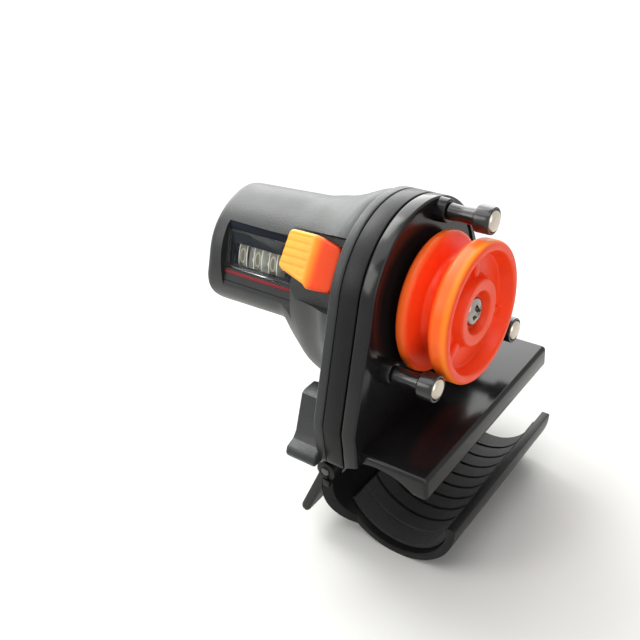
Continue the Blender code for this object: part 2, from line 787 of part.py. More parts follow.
def build_rear_shell(shop):
    """Barrel, concave flare, arched flange and upper handle in one moulding."""
    rings = [(along, radius, 0.0, 0.0) for along, radius in BARREL_PROFILE]
    start_radius = BARREL_PROFILE[-1][1]
    for index in range(1, FLARE_RINGS + 1):
        share = index / FLARE_RINGS
        grow = share ** FLARE_POWER
        along = FLARE_START + (FLARE_END - FLARE_START) * share
        rings.append((along, start_radius + (FLARE_RADIUS - start_radius) * grow, 0.0, -FLARE_DROP * grow))
    shell = ring_skin(rings, STEPS_FINE)
    lobe = [(along, CASE_RADIUS - inset, 0.0, -LOBE_DROP) for along, inset in LOBE_INSETS]
    join(shop, shell, ring_skin(lobe, STEPS_FINE - 2))
    keep(shop, shell, prism(case_outline(FLARE_INSET), BARREL_END - GAP, SEAM_REAR))

    flange = prism(case_outline(), FLANGE_BACK, SEAM_REAR - GAP / 2)
    bevel(flange, CASE_EDGE)
    join(shop, shell, flange)

    handle = prism(handle_outline(), HANDLE_BACK, FLANGE_BACK + CASE_EDGE * 2)
    bevel(handle, CASE_EDGE, 1, math.radians(50.0))
    join(shop, shell, handle)
    for side in (-1, 1):
        near, far = sorted((side * LUG_INNER, side * LUG_OUTER))
        join(shop, shell, prism(lug_outline(), near, far, "Y", (PIVOT_X, 0.0, PIVOT_Z)))
    cut(shop, shell, rod_y(PIVOT_PIN_RADIUS + TINY * 3, -FOOT_HALF, FOOT_HALF, (PIVOT_X, PIVOT_Z)))

    inner = [(CAVITY_END, BARREL_PROFILE[3][1] - BARREL_WALL * 1.6, 0.0, 0.0)]
    inner.append((CAVITY_END + BARREL_WALL, BARREL_PROFILE[3][1] - BARREL_WALL, 0.0, 0.0))
    inner.append((FLARE_START, start_radius - BARREL_WALL, 0.0, 0.0))
    inner.append((BARREL_POCKET_X, start_radius - BARREL_WALL / 2, 0.0, 0.0))
    inner.append((BARREL_POCKET_X + TINY, BARREL_POCKET_RADIUS, 0.0, 0.0))
    inner.append((SEAM_REAR + GAP, BARREL_POCKET_RADIUS, 0.0, 0.0))
    cavity = ring_skin(inner, STEPS)
    pocket = rod_x(LOBE_POCKET_RADIUS, LOBE_POCKET_BACK, SEAM_REAR + GAP * 3, (0.0, -LOBE_DROP), STEPS - 2)
    join(shop, cavity, pocket)
    roof = box(
        (BARREL_END, -FLAT_HALF_WIDTH * 2, -FLAT_HALF_WIDTH * 2),
        (BARREL_POCKET_X, FLAT_HALF_WIDTH * 2, FLAT_INSIDE),
        rotation=(FLAT_TILT, 0.0, 0.0),
    )
    roof_front = box(
        (BARREL_POCKET_X - TINY, -FLAT_HALF_WIDTH * 2, -FLAT_HALF_WIDTH * 2),
        (SEAM_REAR + GAP * 2, FLAT_HALF_WIDTH * 2, FLAT_HALF_WIDTH * 2),
        rotation=(FLAT_TILT, 0.0, 0.0),
    )
    join(shop, roof, roof_front)
    keep(shop, cavity, roof)
    cut(shop, shell, cavity)

    flat = box(
        (FLAT_START, -FLAT_HALF_WIDTH, FLAT_HEIGHT),
        (PANEL_END_X, FLAT_HALF_WIDTH, FLAT_HEIGHT * 2),
        rotation=(FLAT_TILT, 0.0, 0.0),
    )
    cut(shop, shell, flat)
    recess = box(
        (RECESS_START, RECESS_LOW, RECESS_HEIGHT),
        (FLAT_END, RECESS_HIGH, RECESS_HEIGHT * 2),
        rotation=(KNOB_TILT, 0.0, 0.0),
    )
    cut(shop, shell, recess)
    pressed = box(
        (RECESS_START, PRESSED_LOW, PRESSED_FLOOR),
        (FLAT_END, PRESSED_HIGH, RECESS_HEIGHT * 2),
        (0.0, *COUNTER),
        (KNOB_TILT + PRESS_ANGLE, 0.0, 0.0),
    )
    cut(shop, shell, pressed)
    opening = box(
        (WINDOW_START + WINDOW_LEDGE, WINDOW_LOW + WINDOW_LEDGE, FLAT_INSIDE / 2),
        (WINDOW_END - WINDOW_LEDGE, WINDOW_HIGH - WINDOW_LEDGE, FLAT_HEIGHT * 2),
        rotation=(FLAT_TILT, 0.0, 0.0),
    )
    cut(shop, shell, opening)
    rebate = box(
        (WINDOW_START, WINDOW_LOW, WINDOW_PANE_BOTTOM - TINY),
        (WINDOW_END, WINDOW_HIGH, FLAT_HEIGHT * 2),
        rotation=(FLAT_TILT, 0.0, 0.0),
    )
    cut(shop, shell, rebate)
    slot = box(
        (SLOT_START, SLOT_LOW, FLAT_INSIDE / 2),
        (SLOT_END, SLOT_HIGH, FLAT_HEIGHT * 2),
        rotation=(FLAT_TILT, 0.0, 0.0),
    )
    cut(shop, shell, slot)
    groove = box(
        (WINDOW_START, STRIP_LOW, FLAT_HEIGHT - STRIP_DEPTH),
        (PANEL_END_X, STRIP_HIGH, FLAT_HEIGHT * 2),
        rotation=(FLAT_TILT, 0.0, 0.0),
    )
    cut(shop, shell, groove)
    line = box(
        (FLAT_START, PANEL_LINE_LOW, FLAT_HEIGHT - PANEL_LINE_DEPTH),
        (PANEL_END_X, PANEL_LINE_HIGH, FLAT_HEIGHT * 2),
        rotation=(FLAT_TILT, 0.0, 0.0),
    )
    cut(shop, shell, line)

    socket_end = COUNTER_SHAFT_BACK - GAP
    cut(shop, shell, rod_x(COUNTER_SHAFT_RADIUS + SHAFT_CLEAR, socket_end, CAVITY_END / 2, COUNTER))
    cut(shop, shell, rod_x(PINION_SHAFT_RADIUS + TINY, socket_end, CAVITY_END / 2, PINION))
    cut(shop, shell, rod_x(COMB_ROD_RADIUS + TINY, socket_end, CAVITY_END / 2, COMB))
    for _, side, height in SCREW_PLACES:
        place = (side, height)
        cut(shop, shell, rod_x(CASE_SCREW_RADIUS + TINY * 4, HANDLE_BACK - GAP, SEAM_REAR + GAP, place))
        cut(shop, shell, rod_x(CASE_SCREW_POCKET, HANDLE_BACK - GAP, CASE_SCREW_HEAD_FRONT, place))
    shop.part(shell, "rear_shell", BLACK, 0.0, 0.55)


def build_gear_case(shop):
    """Middle layer with the rear bearing wall, the counter tube and the gear chamber."""
    layer = prism(case_outline(), SEAM_REAR + GAP / 2, SEAM_FRONT - GAP / 2)
    bevel(layer, CASE_EDGE / 2)
    cut(shop, layer, rod_x(CHAMBER_RADIUS, CHAMBER_BACK, SEAM_FRONT + GAP, ARCH, STEPS))
    join(shop, layer, rod_x(TUBE_RADIUS, TUBE_BACK, CHAMBER_BACK - GAP, COUNTER))
    cut(shop, layer, rod_x(COUNTER_SHAFT_RADIUS + SHAFT_CLEAR, TUBE_BACK - GAP, CHAMBER_BACK + GAP, COUNTER))
    for place in (IDLER_ONE, IDLER_TWO):
        cut(shop, layer, rod_x(POST_RADIUS + TINY, POST_BACK - GAP, CHAMBER_BACK + GAP, place))
    for place, radius in ((PINION, PINION_SHAFT_RADIUS), (COMB, COMB_ROD_RADIUS)):
        cut(shop, layer, rod_x(radius + TINY, SEAM_REAR - GAP, COMB_ROD_FRONT + GAP, place))
    for _, side, height in SCREW_PLACES:
        hole = rod_x(CASE_SCREW_RADIUS + TINY * 4, SEAM_REAR - GAP, SEAM_FRONT + GAP, (side, height))
        cut(shop, layer, hole)
    cut(shop, layer, rod_y(ARCH_RADIUS, -FOOT_HALF - OVERRUN, FOOT_HALF + OVERRUN, (ROD_X, ROD_Z), STEPS))
    shop.part(layer, "gear_case", BLACK, 0.0, 0.45)


def build_front_case(shop):
    """Front layer with the dished face, three post bosses and the rod saddle."""
    layer = prism(case_outline(), SEAM_FRONT + GAP / 2, FACE_X)
    bevel(layer, CASE_EDGE)
    dish = rod_x(FACE_DISH_RADIUS, FACE_X - FACE_DISH_DEPTH, FACE_X + GAP, ARCH, STEPS_FINE)
    cut(shop, layer, dish)
    outline = (
        (SEAM_FRONT + GAP * 2, FOOT_BOTTOM),
        (SADDLE_FRONT, FOOT_BOTTOM),
        (SADDLE_FRONT, SADDLE_TOP),
        (SEAM_FRONT + GAP * 2, SADDLE_TOP),
    )
    saddle = prism(outline, -SADDLE_HALF, SADDLE_HALF, "Y")
    bevel(saddle, SADDLE_CHAMFER, 2)
    join(shop, layer, saddle)
    for _, side, height in POST_PLACES:
        join(shop, layer, rod_x(BOSS_RADIUS, FACE_X - GAP * 5, BOSS_FRONT, (side, height)))
        hole = rod_x(GUIDE_PIN_RADIUS + TINY, GUIDE_PIN_BACK - GAP, BOSS_FRONT + GAP, (side, height))
        cut(shop, layer, hole)
    cut(shop, layer, rod_x(CHAMBER_RADIUS, SEAM_FRONT - GAP, CHAMBER_FRONT, ARCH, STEPS))
    cut(shop, layer, rod_x(BUSH_RADIUS + TINY, SEAM_FRONT - GAP, FACE_X + GAP, AXIS))
    for place in (IDLER_ONE, IDLER_TWO):
        cut(shop, layer, rod_x(POST_RADIUS + TINY, CHAMBER_FRONT - GAP, POST_FRONT + GAP, place))
    for _, side, height in SCREW_PLACES:
        hole = rod_x(CASE_SCREW_RADIUS + TINY, SEAM_FRONT - GAP, CASE_SCREW_TIP + GAP, (side, height))
        cut(shop, layer, hole)
    arch = rod_y(ARCH_RADIUS, -FOOT_HALF - OVERRUN, FOOT_HALF + OVERRUN, (ROD_X, ROD_Z), STEPS_FINE)
    cut(shop, layer, arch)
    shop.part(layer, "front_case", BLACK, 0.0, 0.25)


def build_window(shop):
    """Clear pane over the drums and the red strip below it."""
    pane = box(
        (WINDOW_START + GAP / 2, WINDOW_LOW + GAP / 2, WINDOW_PANE_BOTTOM),
        (WINDOW_END - GAP / 2, WINDOW_HIGH - GAP / 2, WINDOW_PANE_TOP),
        rotation=(FLAT_TILT, 0.0, 0.0),
    )
    shop.part(pane, "window_pane", CLEAR, 0.0, 0.05)
    strip = box(
        (WINDOW_START + TINY * 3, STRIP_LOW + TINY * 3, FLAT_HEIGHT - STRIP_DEPTH + TINY),
        (PANEL_END_X - TINY * 3, STRIP_HIGH - TINY * 3, FLAT_HEIGHT + STRIP_PROUD),
        rotation=(FLAT_TILT, 0.0, 0.0),
    )
    shop.part(strip, "red_strip", RED, 0.0, 0.4)


def build_line_wheel(shop):
    """Grooved wheel with its shaft, screw and input pinion."""
    shop.part(lathe(WHEEL_PROFILE, AXIS, STEPS_FINE, True), "line_wheel", ORANGE, 0.0, 0.3)

    profile = (
        (WHEEL_SHAFT_FRONT, 0.0),
        (WHEEL_SHAFT_FRONT, WHEEL_SHAFT_RADIUS),
        (LAYER_ONE[1] + GAP, WHEEL_SHAFT_RADIUS),
        (LAYER_ONE[1] + GAP, WHEEL_SPIGOT_RADIUS),
        (WHEEL_SHAFT_BACK, WHEEL_SPIGOT_RADIUS),
        (WHEEL_SHAFT_BACK, 0.0),
    )
    shaft = lathe(profile, AXIS, STEPS_SMALL)
    cut(shop, shaft, rod_x(CASE_SCREW_RADIUS, WHEEL_SHAFT_FRONT / 2, WHEEL_SHAFT_FRONT + GAP, AXIS))
    shop.part(shaft, "wheel_shaft", STEEL, 1.0, 0.3)

    half = SCREW_HEAD_RADIUS / 2
    profile = (
        (SCREW_HEAD_FRONT, 0.0),
        (SCREW_HEAD_FRONT - GAP, half),
        (SCREW_HEAD_FRONT - GAP * 4, SCREW_HEAD_RADIUS),
        (SCREW_HEAD_BACK, SCREW_HEAD_RADIUS),
        (SCREW_HEAD_BACK, CASE_SCREW_RADIUS - TINY * 3),
        (WHEEL_SHAFT_FRONT / 2 + GAP, CASE_SCREW_RADIUS - TINY * 3),
        (WHEEL_SHAFT_FRONT / 2 + GAP, 0.0),
    )
    screw = lathe(profile, AXIS, STEPS_SMALL)
    length = SCREW_SLOT_LENGTH / 2
    width = SCREW_SLOT_WIDTH / 2
    deep = SCREW_HEAD_FRONT - SCREW_SLOT_DEPTH
    cross = box((deep, -length, -width), (SCREW_HEAD_FRONT + GAP, length, width), (0.0, *AXIS))
    join(shop, cross, box((deep, -width, -length), (SCREW_HEAD_FRONT + GAP, width, length), (0.0, *AXIS)))
    cut(shop, screw, cross)
    shop.part(screw, "wheel_screw", STEEL, 1.0, 0.25)


def build_gears(shop):
    """Input pinion, two compound idlers and the gear on the counter shaft."""
    shaft_end = LAYER_ONE[1] + GAP / 2
    pinion = gear(SMALL_TEETH, GEAR_MODULE, (WHEEL_SHAFT_BACK, LAYER_ONE[1]), AXIS, IDLER_ONE_ANGLE)
    cut(shop, pinion, rod_x(WHEEL_SPIGOT_RADIUS + TINY, POST_BACK, shaft_end, AXIS))
    shop.part(pinion, "input_pinion", BRASS, 1.0, 0.35)

    one_turn = mesh_turn(AXIS, SMALL_TEETH, IDLER_ONE_ANGLE, IDLER_ONE, GEAR_TEETH)
    first = gear(GEAR_TEETH, GEAR_MODULE, LAYER_ONE, IDLER_ONE, one_turn)
    line = math.atan2(IDLER_TWO[1] - IDLER_ONE[1], IDLER_TWO[0] - IDLER_ONE[0])
    join(shop, first, gear(SMALL_TEETH, GEAR_MODULE, (LAYER_TWO[0], LAYER_ONE[0] + GAP), IDLER_ONE, line))
    cut(shop, first, rod_x(POST_RADIUS + SHAFT_CLEAR / 2, POST_BACK, shaft_end, IDLER_ONE))
    shop.part(first, "idler_gear_1", WHITE, 0.0, 0.4)

    two_turn = mesh_turn(IDLER_ONE, SMALL_TEETH, line, IDLER_TWO, GEAR_TEETH)
    second = gear(GEAR_TEETH, GEAR_MODULE, LAYER_TWO, IDLER_TWO, two_turn)
    last = math.atan2(COUNTER[1] - IDLER_TWO[1], COUNTER[0] - IDLER_TWO[0])
    join(shop, second, gear(SMALL_TEETH, GEAR_MODULE, (LAYER_THREE[0], LAYER_TWO[0] + GAP), IDLER_TWO, last))
    cut(shop, second, rod_x(POST_RADIUS + SHAFT_CLEAR / 2, POST_BACK, shaft_end, IDLER_TWO))
    shop.part(second, "idler_gear_2", WHITE, 0.0, 0.4)

    counter_turn = mesh_turn(IDLER_TWO, SMALL_TEETH, last, COUNTER, GEAR_TEETH)
    third = gear(GEAR_TEETH, GEAR_MODULE, LAYER_THREE, COUNTER, counter_turn)
    cut(shop, third, rod_x(COUNTER_SHAFT_RADIUS + TINY, POST_BACK, shaft_end, COUNTER))
    shop.part(third, "counter_gear", WHITE, 0.0, 0.4)

    for name, place in (("idler_post_1", IDLER_ONE), ("idler_post_2", IDLER_TWO)):
        post = rod_x(POST_RADIUS, POST_BACK, POST_FRONT, place)
        shop.part(post, name, STEEL, 1.0, 0.3)
    bush = (
        (BUSH_FRONT, BUSH_RADIUS),
        (BUSH_BACK, BUSH_RADIUS),
        (BUSH_BACK, WHEEL_SHAFT_RADIUS + SHAFT_CLEAR),
        (BUSH_FRONT, WHEEL_SHAFT_RADIUS + SHAFT_CLEAR),
    )
    shop.part(lathe(bush, AXIS, STEPS_SMALL, True), "wheel_bush", BRASS, 1.0, 0.35)


def heart_outline():
    """Gives the outline of a zero cam: a low flat, then two equal rising flanks."""
    points = []
    for index in range(CAM_POINTS):
        angle = FULL * index / CAM_POINTS
        away = abs(math.atan2(math.sin(angle), math.cos(angle)))
        rise = max(0.0, away - CAM_FLAT_ANGLE) / (math.pi - CAM_FLAT_ANGLE)
        radius = CAM_LOW + (CAM_HIGH - CAM_LOW) * rise
        place = angle + ZERO_FLAT_ANGLE
        points.append((radius * math.cos(place), radius * math.sin(place)))
    return points


def drum(shop, name, front, fixed):
    """Makes one figure drum with its ring gear, carry disc and zero cam."""
    back = front - DRUM_RIM
    bore = COUNTER_SHAFT_RADIUS + (TINY if fixed else SHAFT_CLEAR)
    body = rod_x(DRUM_RADIUS, back, front, COUNTER, STEPS)
    line = math.atan2(PINION[1] - COUNTER[1], PINION[0] - COUNTER[0])
    ring_turn = line + math.pi / RING_TEETH
    ring = gear(RING_TEETH, DRUM_MODULE, (front - GAP * 2, front + RING_THICK), COUNTER, ring_turn)
    join(shop, body, ring)
    hub_back = back - CARRY_THICK - CAM_THICK - GAP / 2
    carry = rod_x(CARRY_RADIUS, back - CARRY_THICK, back + GAP * 2, COUNTER, STEPS_SMALL)
    join(shop, body, carry)
    cam = prism(heart_outline(), hub_back, back - CARRY_THICK + GAP, "X", (0.0, COUNTER_Y, COUNTER_Z))
    join(shop, body, cam)
    cut(shop, body, rod_x(bore, hub_back - GAP, front + RING_THICK + GAP, COUNTER))
    shop.part(body, name, WHITE, 0.0, 0.4)


def build_counter(shop):
    """Counter shaft, three drums and the transfer pinions behind them."""
    shaft = rod_x(COUNTER_SHAFT_RADIUS, COUNTER_SHAFT_BACK, COUNTER_SHAFT_FRONT, COUNTER)
    shop.part(shaft, "counter_shaft", STEEL, 1.0, 0.3)
    for index, name in enumerate(("units_drum", "tens_drum", "hundreds_drum")):
        drum(shop, name, UNITS_DRUM_X + DRUM_RIM - DRUM_PITCH * index, index == 0)
    line = math.atan2(COUNTER[1] - PINION[1], COUNTER[0] - PINION[0])
    for index in (1, 2):
        front = UNITS_DRUM_X - GAP - DRUM_PITCH * (index - 1)
        pinion = gear(PINION_TEETH, DRUM_MODULE, (front - PINION_WIDTH, front), PINION, line)
        cut(shop, pinion, rod_x(PINION_SHAFT_RADIUS + SHAFT_CLEAR / 2, front - DRUM_RIM, front + GAP, PINION))
        shop.part(pinion, "transfer_pinion_%d" % index, AMBER, 0.0, 0.4)
    shaft = rod_x(PINION_SHAFT_RADIUS, PINION_SHAFT_BACK, PINION_SHAFT_FRONT, PINION)
    shop.part(shaft, "pinion_shaft", STEEL, 1.0, 0.3)


def build_guides(shop):
    """Three posts: steel pin, turning roller and end collar."""
    for name, side, height in POST_PLACES:
        place = (side, height)
        bore = GUIDE_PIN_RADIUS + SHAFT_CLEAR / 2
        middle = (ROLLER_BACK + ROLLER_FRONT) / 2
        roller = (
            (ROLLER_FRONT, ROLLER_RADIUS),
            (middle, ROLLER_WAIST),
            (ROLLER_BACK, ROLLER_RADIUS),
            (ROLLER_BACK, bore),
            (ROLLER_FRONT, bore),
        )
        shop.part(lathe(roller, place, STEPS_SMALL, True), "guide_roller_" + name, BLACK, 0.0, 0.3)
        seat = GUIDE_HEAD_RADIUS + SHAFT_CLEAR / 2
        collar = (
            (COLLAR_FRONT, COLLAR_RADIUS - GAP),
            (COLLAR_FRONT - GAP, COLLAR_RADIUS),
            (COLLAR_BACK + GAP, COLLAR_RADIUS),
            (COLLAR_BACK, COLLAR_RADIUS - GAP),
            (COLLAR_BACK, GUIDE_PIN_RADIUS + TINY),
            (GUIDE_HEAD_BACK - TINY, GUIDE_PIN_RADIUS + TINY),
            (GUIDE_HEAD_BACK - TINY, seat),
            (COLLAR_FRONT, seat),
        )
        shop.part(lathe(collar, place, STEPS_SMALL, True), "guide_collar_" + name, BLACK, 0.0, 0.35)
        pin = (
            (GUIDE_HEAD_FRONT, 0.0),
            (GUIDE_HEAD_FRONT - GAP / 2, GUIDE_HEAD_RADIUS / 2),
            (GUIDE_HEAD_FRONT - GAP * 2, GUIDE_HEAD_RADIUS - GAP),
            (GUIDE_HEAD_FRONT - GAP * 4, GUIDE_HEAD_RADIUS),
            (GUIDE_HEAD_BACK, GUIDE_HEAD_RADIUS),
            (GUIDE_HEAD_BACK, GUIDE_PIN_RADIUS),
            (GUIDE_PIN_BACK, GUIDE_PIN_RADIUS),
            (GUIDE_PIN_BACK, 0.0),
        )
        shop.part(lathe(pin, place, STEPS_SMALL), "guide_pin_" + name, STEEL, 1.0, 0.15)


def arc_band(inner, outer, start, end, points):
    """Gives the outline of a curved band about the rod axis, in X and Z from that axis."""
    outline = []
    for index in range(points + 1):
        angle = start + (end - start) * index / points
        outline.append((outer * math.cos(angle), outer * math.sin(angle)))
    for index in range(points, -1, -1):
        angle = start + (end - start) * index / points
        outline.append((inner * math.cos(angle), inner * math.sin(angle)))
    return outline


def build_saddle_pad(shop):
    """Rubber lining in the arch of the saddle."""
    start = QUARTER - PAD_HALF_ANGLE
    end = QUARTER + PAD_HALF_ANGLE
    outline = arc_band(ROD_RADIUS, ROD_RADIUS + PAD_THICK, start, end, JAW_POINTS // 2)
    pad = prism(outline, -PAD_HALF_LENGTH, PAD_HALF_LENGTH, "Y", (ROD_X, 0.0, ROD_Z))
    shop.part(pad, "saddle_pad", RUBBER, 0.0, 0.8)


def build_jaw(shop):
    """Curved lower jaw with its tail and end knuckles, turning about the pivot pin."""
    pivot = (PIVOT_X, 0.0, PIVOT_Z)
    offset = (ROD_X - PIVOT_X, ROD_Z - PIVOT_Z)
    band = arc_band(JAW_INNER, JAW_OUTER, JAW_START, JAW_END, JAW_POINTS)
    outline = [(x + offset[0], z + offset[1]) for x, z in band]
    jaw = prism(outline, -JAW_HALF, JAW_HALF, "Y", pivot)
    for side in (-1, 1):
        corner = [(x, side * y) for x, y in JAW_CORNER]
        cut(shop, jaw, prism(corner, FOOT_BOTTOM * 2, JAW_ARM_TOP, "Z"))
    bevel(jaw, CASE_EDGE, 1, math.radians(60.0))

    tip = Vector((TAIL_TIP_X - PIVOT_X, 0.0, TAIL_TIP_Z - PIVOT_Z))
    across = Vector((-tip.z, 0.0, tip.x)).normalized() * TAIL_HALF_THICK
    along = tip.normalized() * TAIL_HALF_THICK
    tail_outline = (
        (across.x, across.z),
        (tip.x + across.x, tip.z + across.z),
        (tip.x + along.x + across.x / 2, tip.z + along.z + across.z / 2),
        (tip.x + along.x - across.x / 2, tip.z + along.z - across.z / 2),
        (tip.x - across.x, tip.z - across.z),
        (-across.x, -across.z),
    )
    tail = prism(tail_outline, -JAW_HALF + GAP, JAW_HALF - GAP, "Y", pivot)
    join(shop, jaw, tail)
    bridge_start = JAW_OUTER * math.cos(JAW_START) + offset[0]
    bridge_low = JAW_OUTER * math.sin(JAW_START) + offset[1]
    bridge_outline = (
        (0.0, 0.0),
        (bridge_start + GAP * 6, bridge_low),
        (bridge_start, bridge_low - BRIDGE_DEPTH),
        (tip.x / 3, tip.z / 3),
    )
    bridge = prism(bridge_outline, -JAW_HALF + GAP * 2, JAW_HALF - GAP * 2, "Y", pivot)
    join(shop, jaw, bridge)
    middle = rod_y(JAW_CLEAR_RADIUS, -JAW_KNUCKLE_INNER, JAW_KNUCKLE_INNER, (PIVOT_X, PIVOT_Z), STEPS_SMALL)
    cut(shop, jaw, middle)
    for side in (-1, 1):
        near, far = sorted((side * JAW_KNUCKLE_INNER, side * (JAW_HALF - GAP * 3)))
        join(shop, jaw, rod_y(KNUCKLE_RADIUS, near, far, (PIVOT_X, PIVOT_Z), STEPS_SMALL))
    reach = JAW_HALF + OVERRUN
    cut(shop, jaw, rod_y(PIVOT_PIN_RADIUS + SHAFT_CLEAR, -reach, reach, (PIVOT_X, PIVOT_Z)))
    cut(shop, jaw, rod_y(ROD_RADIUS + GAP * 2, -reach, reach, (ROD_X, ROD_Z), STEPS_FINE))
    shop.part(jaw, "clamp_jaw", BLACK, 0.0, 0.4)

    band = arc_band(ROD_RADIUS, ROD_RADIUS + PAD_THICK, JAW_PAD_START, JAW_PAD_END, JAW_POINTS)
    outline = [(x + offset[0], z + offset[1]) for x, z in band]
    pad = prism(outline, -JAW_PAD_HALF, JAW_PAD_HALF, "Y", pivot)
    shop.part(pad, "jaw_pad", RUBBER, 0.0, 0.8)

    pin = rod_y(PIVOT_PIN_RADIUS, -PIVOT_PIN_HALF, PIVOT_PIN_HALF, (PIVOT_X, PIVOT_Z))
    shop.part(pin, "pivot_pin", STEEL, 1.0, 0.25)


def build_clamp_spring(shop):
    """Torsion spring about the pivot pin, with one leg under the handle and one on the jaw's tail."""
    seat = Vector((SPRING_SEAT_X - PIVOT_X, HANDLE_BOTTOM - SPRING_WIRE - TINY * 3 - PIVOT_Z))
    start = math.atan2(seat.y, seat.x) + math.acos(SPRING_RADIUS / seat.length)
    finish = math.atan2(TAIL_TIP_Z - PIVOT_Z, TAIL_TIP_X - PIVOT_X) + FULL - QUARTER
    sweep = FULL * SPRING_TURNS + finish - start
    total = SPRING_TURNS * SPRING_POINTS
    points = [(seat.x, -SPRING_LENGTH / 2, seat.y)]
    for index in range(total + 1):
        share = index / total
        angle = start + sweep * share
        points.append((
            SPRING_RADIUS * math.cos(angle),
            -SPRING_LENGTH / 2 + SPRING_LENGTH * share,
            SPRING_RADIUS * math.sin(angle),
        ))
    last = Vector(points[-1])
    lead = Vector((-math.sin(finish), 0.0, math.cos(finish)))
    points.append(tuple(last + lead * SPRING_LEG))
    spring = wire_path(points, SPRING_WIRE, (PIVOT_X, 0.0, PIVOT_Z))
    shop.part(spring, "clamp_spring", STEEL, 1.0, 0.3)


def turned_bar(start, end, low, high, angle):
    """Gives the outline of a flat bar that leaves its centre at an angle in the Y and Z plane."""
    along = (math.cos(angle), math.sin(angle))
    across = (-along[1], along[0])
    corners = ((start, low), (end, low), (end, high), (start, high))
    return [
        (reach * along[0] + side * across[0], reach * along[1] + side * across[1]) for reach, side in corners
    ]


def build_reset(shop):
    """Reset lever with its ribbed knob, the comb that meets the zero cams and the return spring."""
    lever = prism(KNOB_OUTLINE, KNOB_BOTTOM, KNOB_TOP, "Z", rotation=(KNOB_TILT, 0.0, 0.0))
    wedge_outline = (
        (KNOB_SLOPE_START, KNOB_TOP),
        (KNOB_OUTLINE[4][0] + GAP * 4, KNOB_TOP - KNOB_SLOPE_END_DROP),
        (KNOB_OUTLINE[4][0] + GAP * 4, KNOB_TOP + KNOB_SLOPE_END_DROP),
        (KNOB_SLOPE_START, KNOB_TOP + KNOB_SLOPE_END_DROP),
    )
    wedge = prism(wedge_outline, RECESS_LOW, RECESS_HIGH, "Y", rotation=(KNOB_TILT, 0.0, 0.0))
    cut(shop, lever, wedge)
    bevel(lever, KNOB_EDGE, 2)
    for index in range(KNOB_RIBS):
        middle = (index - (KNOB_RIBS - 1) / 2) * KNOB_RIB_PITCH
        rib = box(
            (KNOB_RIB_CENTRE - KNOB_RIB_LENGTH / 2, middle - KNOB_RIB_WIDTH / 2, KNOB_TOP - KNOB_RIB_HEIGHT),
            (KNOB_RIB_CENTRE + KNOB_RIB_LENGTH / 2, middle + KNOB_RIB_WIDTH / 2, KNOB_TOP + KNOB_RIB_HEIGHT),
            rotation=(KNOB_TILT, 0.0, 0.0),
        )
        join(shop, lever, rib)
    neck = box(
        (NECK_START, -NECK_HALF, NECK_BOTTOM), (NECK_END, NECK_HALF, KNOB_BOTTOM + KNOB_EDGE * 2),
        rotation=(KNOB_TILT, 0.0, 0.0),
    )
    join(shop, lever, neck)
    join(shop, lever, rod_x(HUB_RADIUS, NECK_START, NECK_END, COUNTER, STEPS_SMALL))
    nose = turned_bar(NOSE_START, NOSE_REACH, NOSE_LOW, NOSE_HIGH, COMB_ANGLE)
    join(shop, lever, prism(nose, CRANK_START, CRANK_END, "X", (0.0, COUNTER_Y, COUNTER_Z)))
    cut(shop, lever, rod_x(TUBE_RADIUS + SHAFT_CLEAR, NECK_START - GAP, NECK_END + GAP, COUNTER))
    shop.part(lever, "reset_lever", AMBER, 0.0, 0.4)

    comb = rod_x(COMB_HUB_RADIUS, COMB_BACK, COMB_FRONT, COMB)
    lean = COMB_ANGLE + math.pi + COMB_LEAN
    half = COMB_FINGER_WIDTH / 2
    for index in range(DRUM_COUNT):
        back = UNITS_DRUM_X - CARRY_THICK - GAP / 2 - COMB_FINGER_THICK - DRUM_PITCH * index
        finger = turned_bar(0.0, COMB_FINGER_LENGTH, -half, half, lean)
        join(shop, comb, prism(finger, back, back + COMB_FINGER_THICK, "X", (0.0, COMB[0], COMB[1])))
    crank = turned_bar(0.0, CRANK_LENGTH, -CRANK_HIGH, -CRANK_LOW, COMB_ANGLE + math.pi)
    join(shop, comb, prism(crank, CRANK_START, CRANK_END, "X", (0.0, COMB[0], COMB[1])))
    cut(shop, comb, rod_x(COMB_ROD_RADIUS + SHAFT_CLEAR / 2, COMB_BACK - GAP, COMB_FRONT + GAP, COMB))
    shop.part(comb, "reset_comb", AMBER, 0.0, 0.4)
    rod = rod_x(COMB_ROD_RADIUS, COMB_ROD_BACK, COMB_ROD_FRONT, COMB)
    shop.part(rod, "comb_rod", STEEL, 1.0, 0.3)

    points = []
    total = RESET_TURNS * SPRING_POINTS
    for index in range(total + 1):
        share = index / total
        angle = -FULL * RESET_TURNS * share
        points.append((
            RESET_BACK + (RESET_FRONT - RESET_BACK) * share,
            RESET_RADIUS * math.cos(angle),
            RESET_RADIUS * math.sin(angle),
        ))
    spring = wire_path(points, RESET_WIRE, (0.0, COUNTER_Y, COUNTER_Z))
    shop.part(spring, "reset_spring", STEEL, 1.0, 0.3)


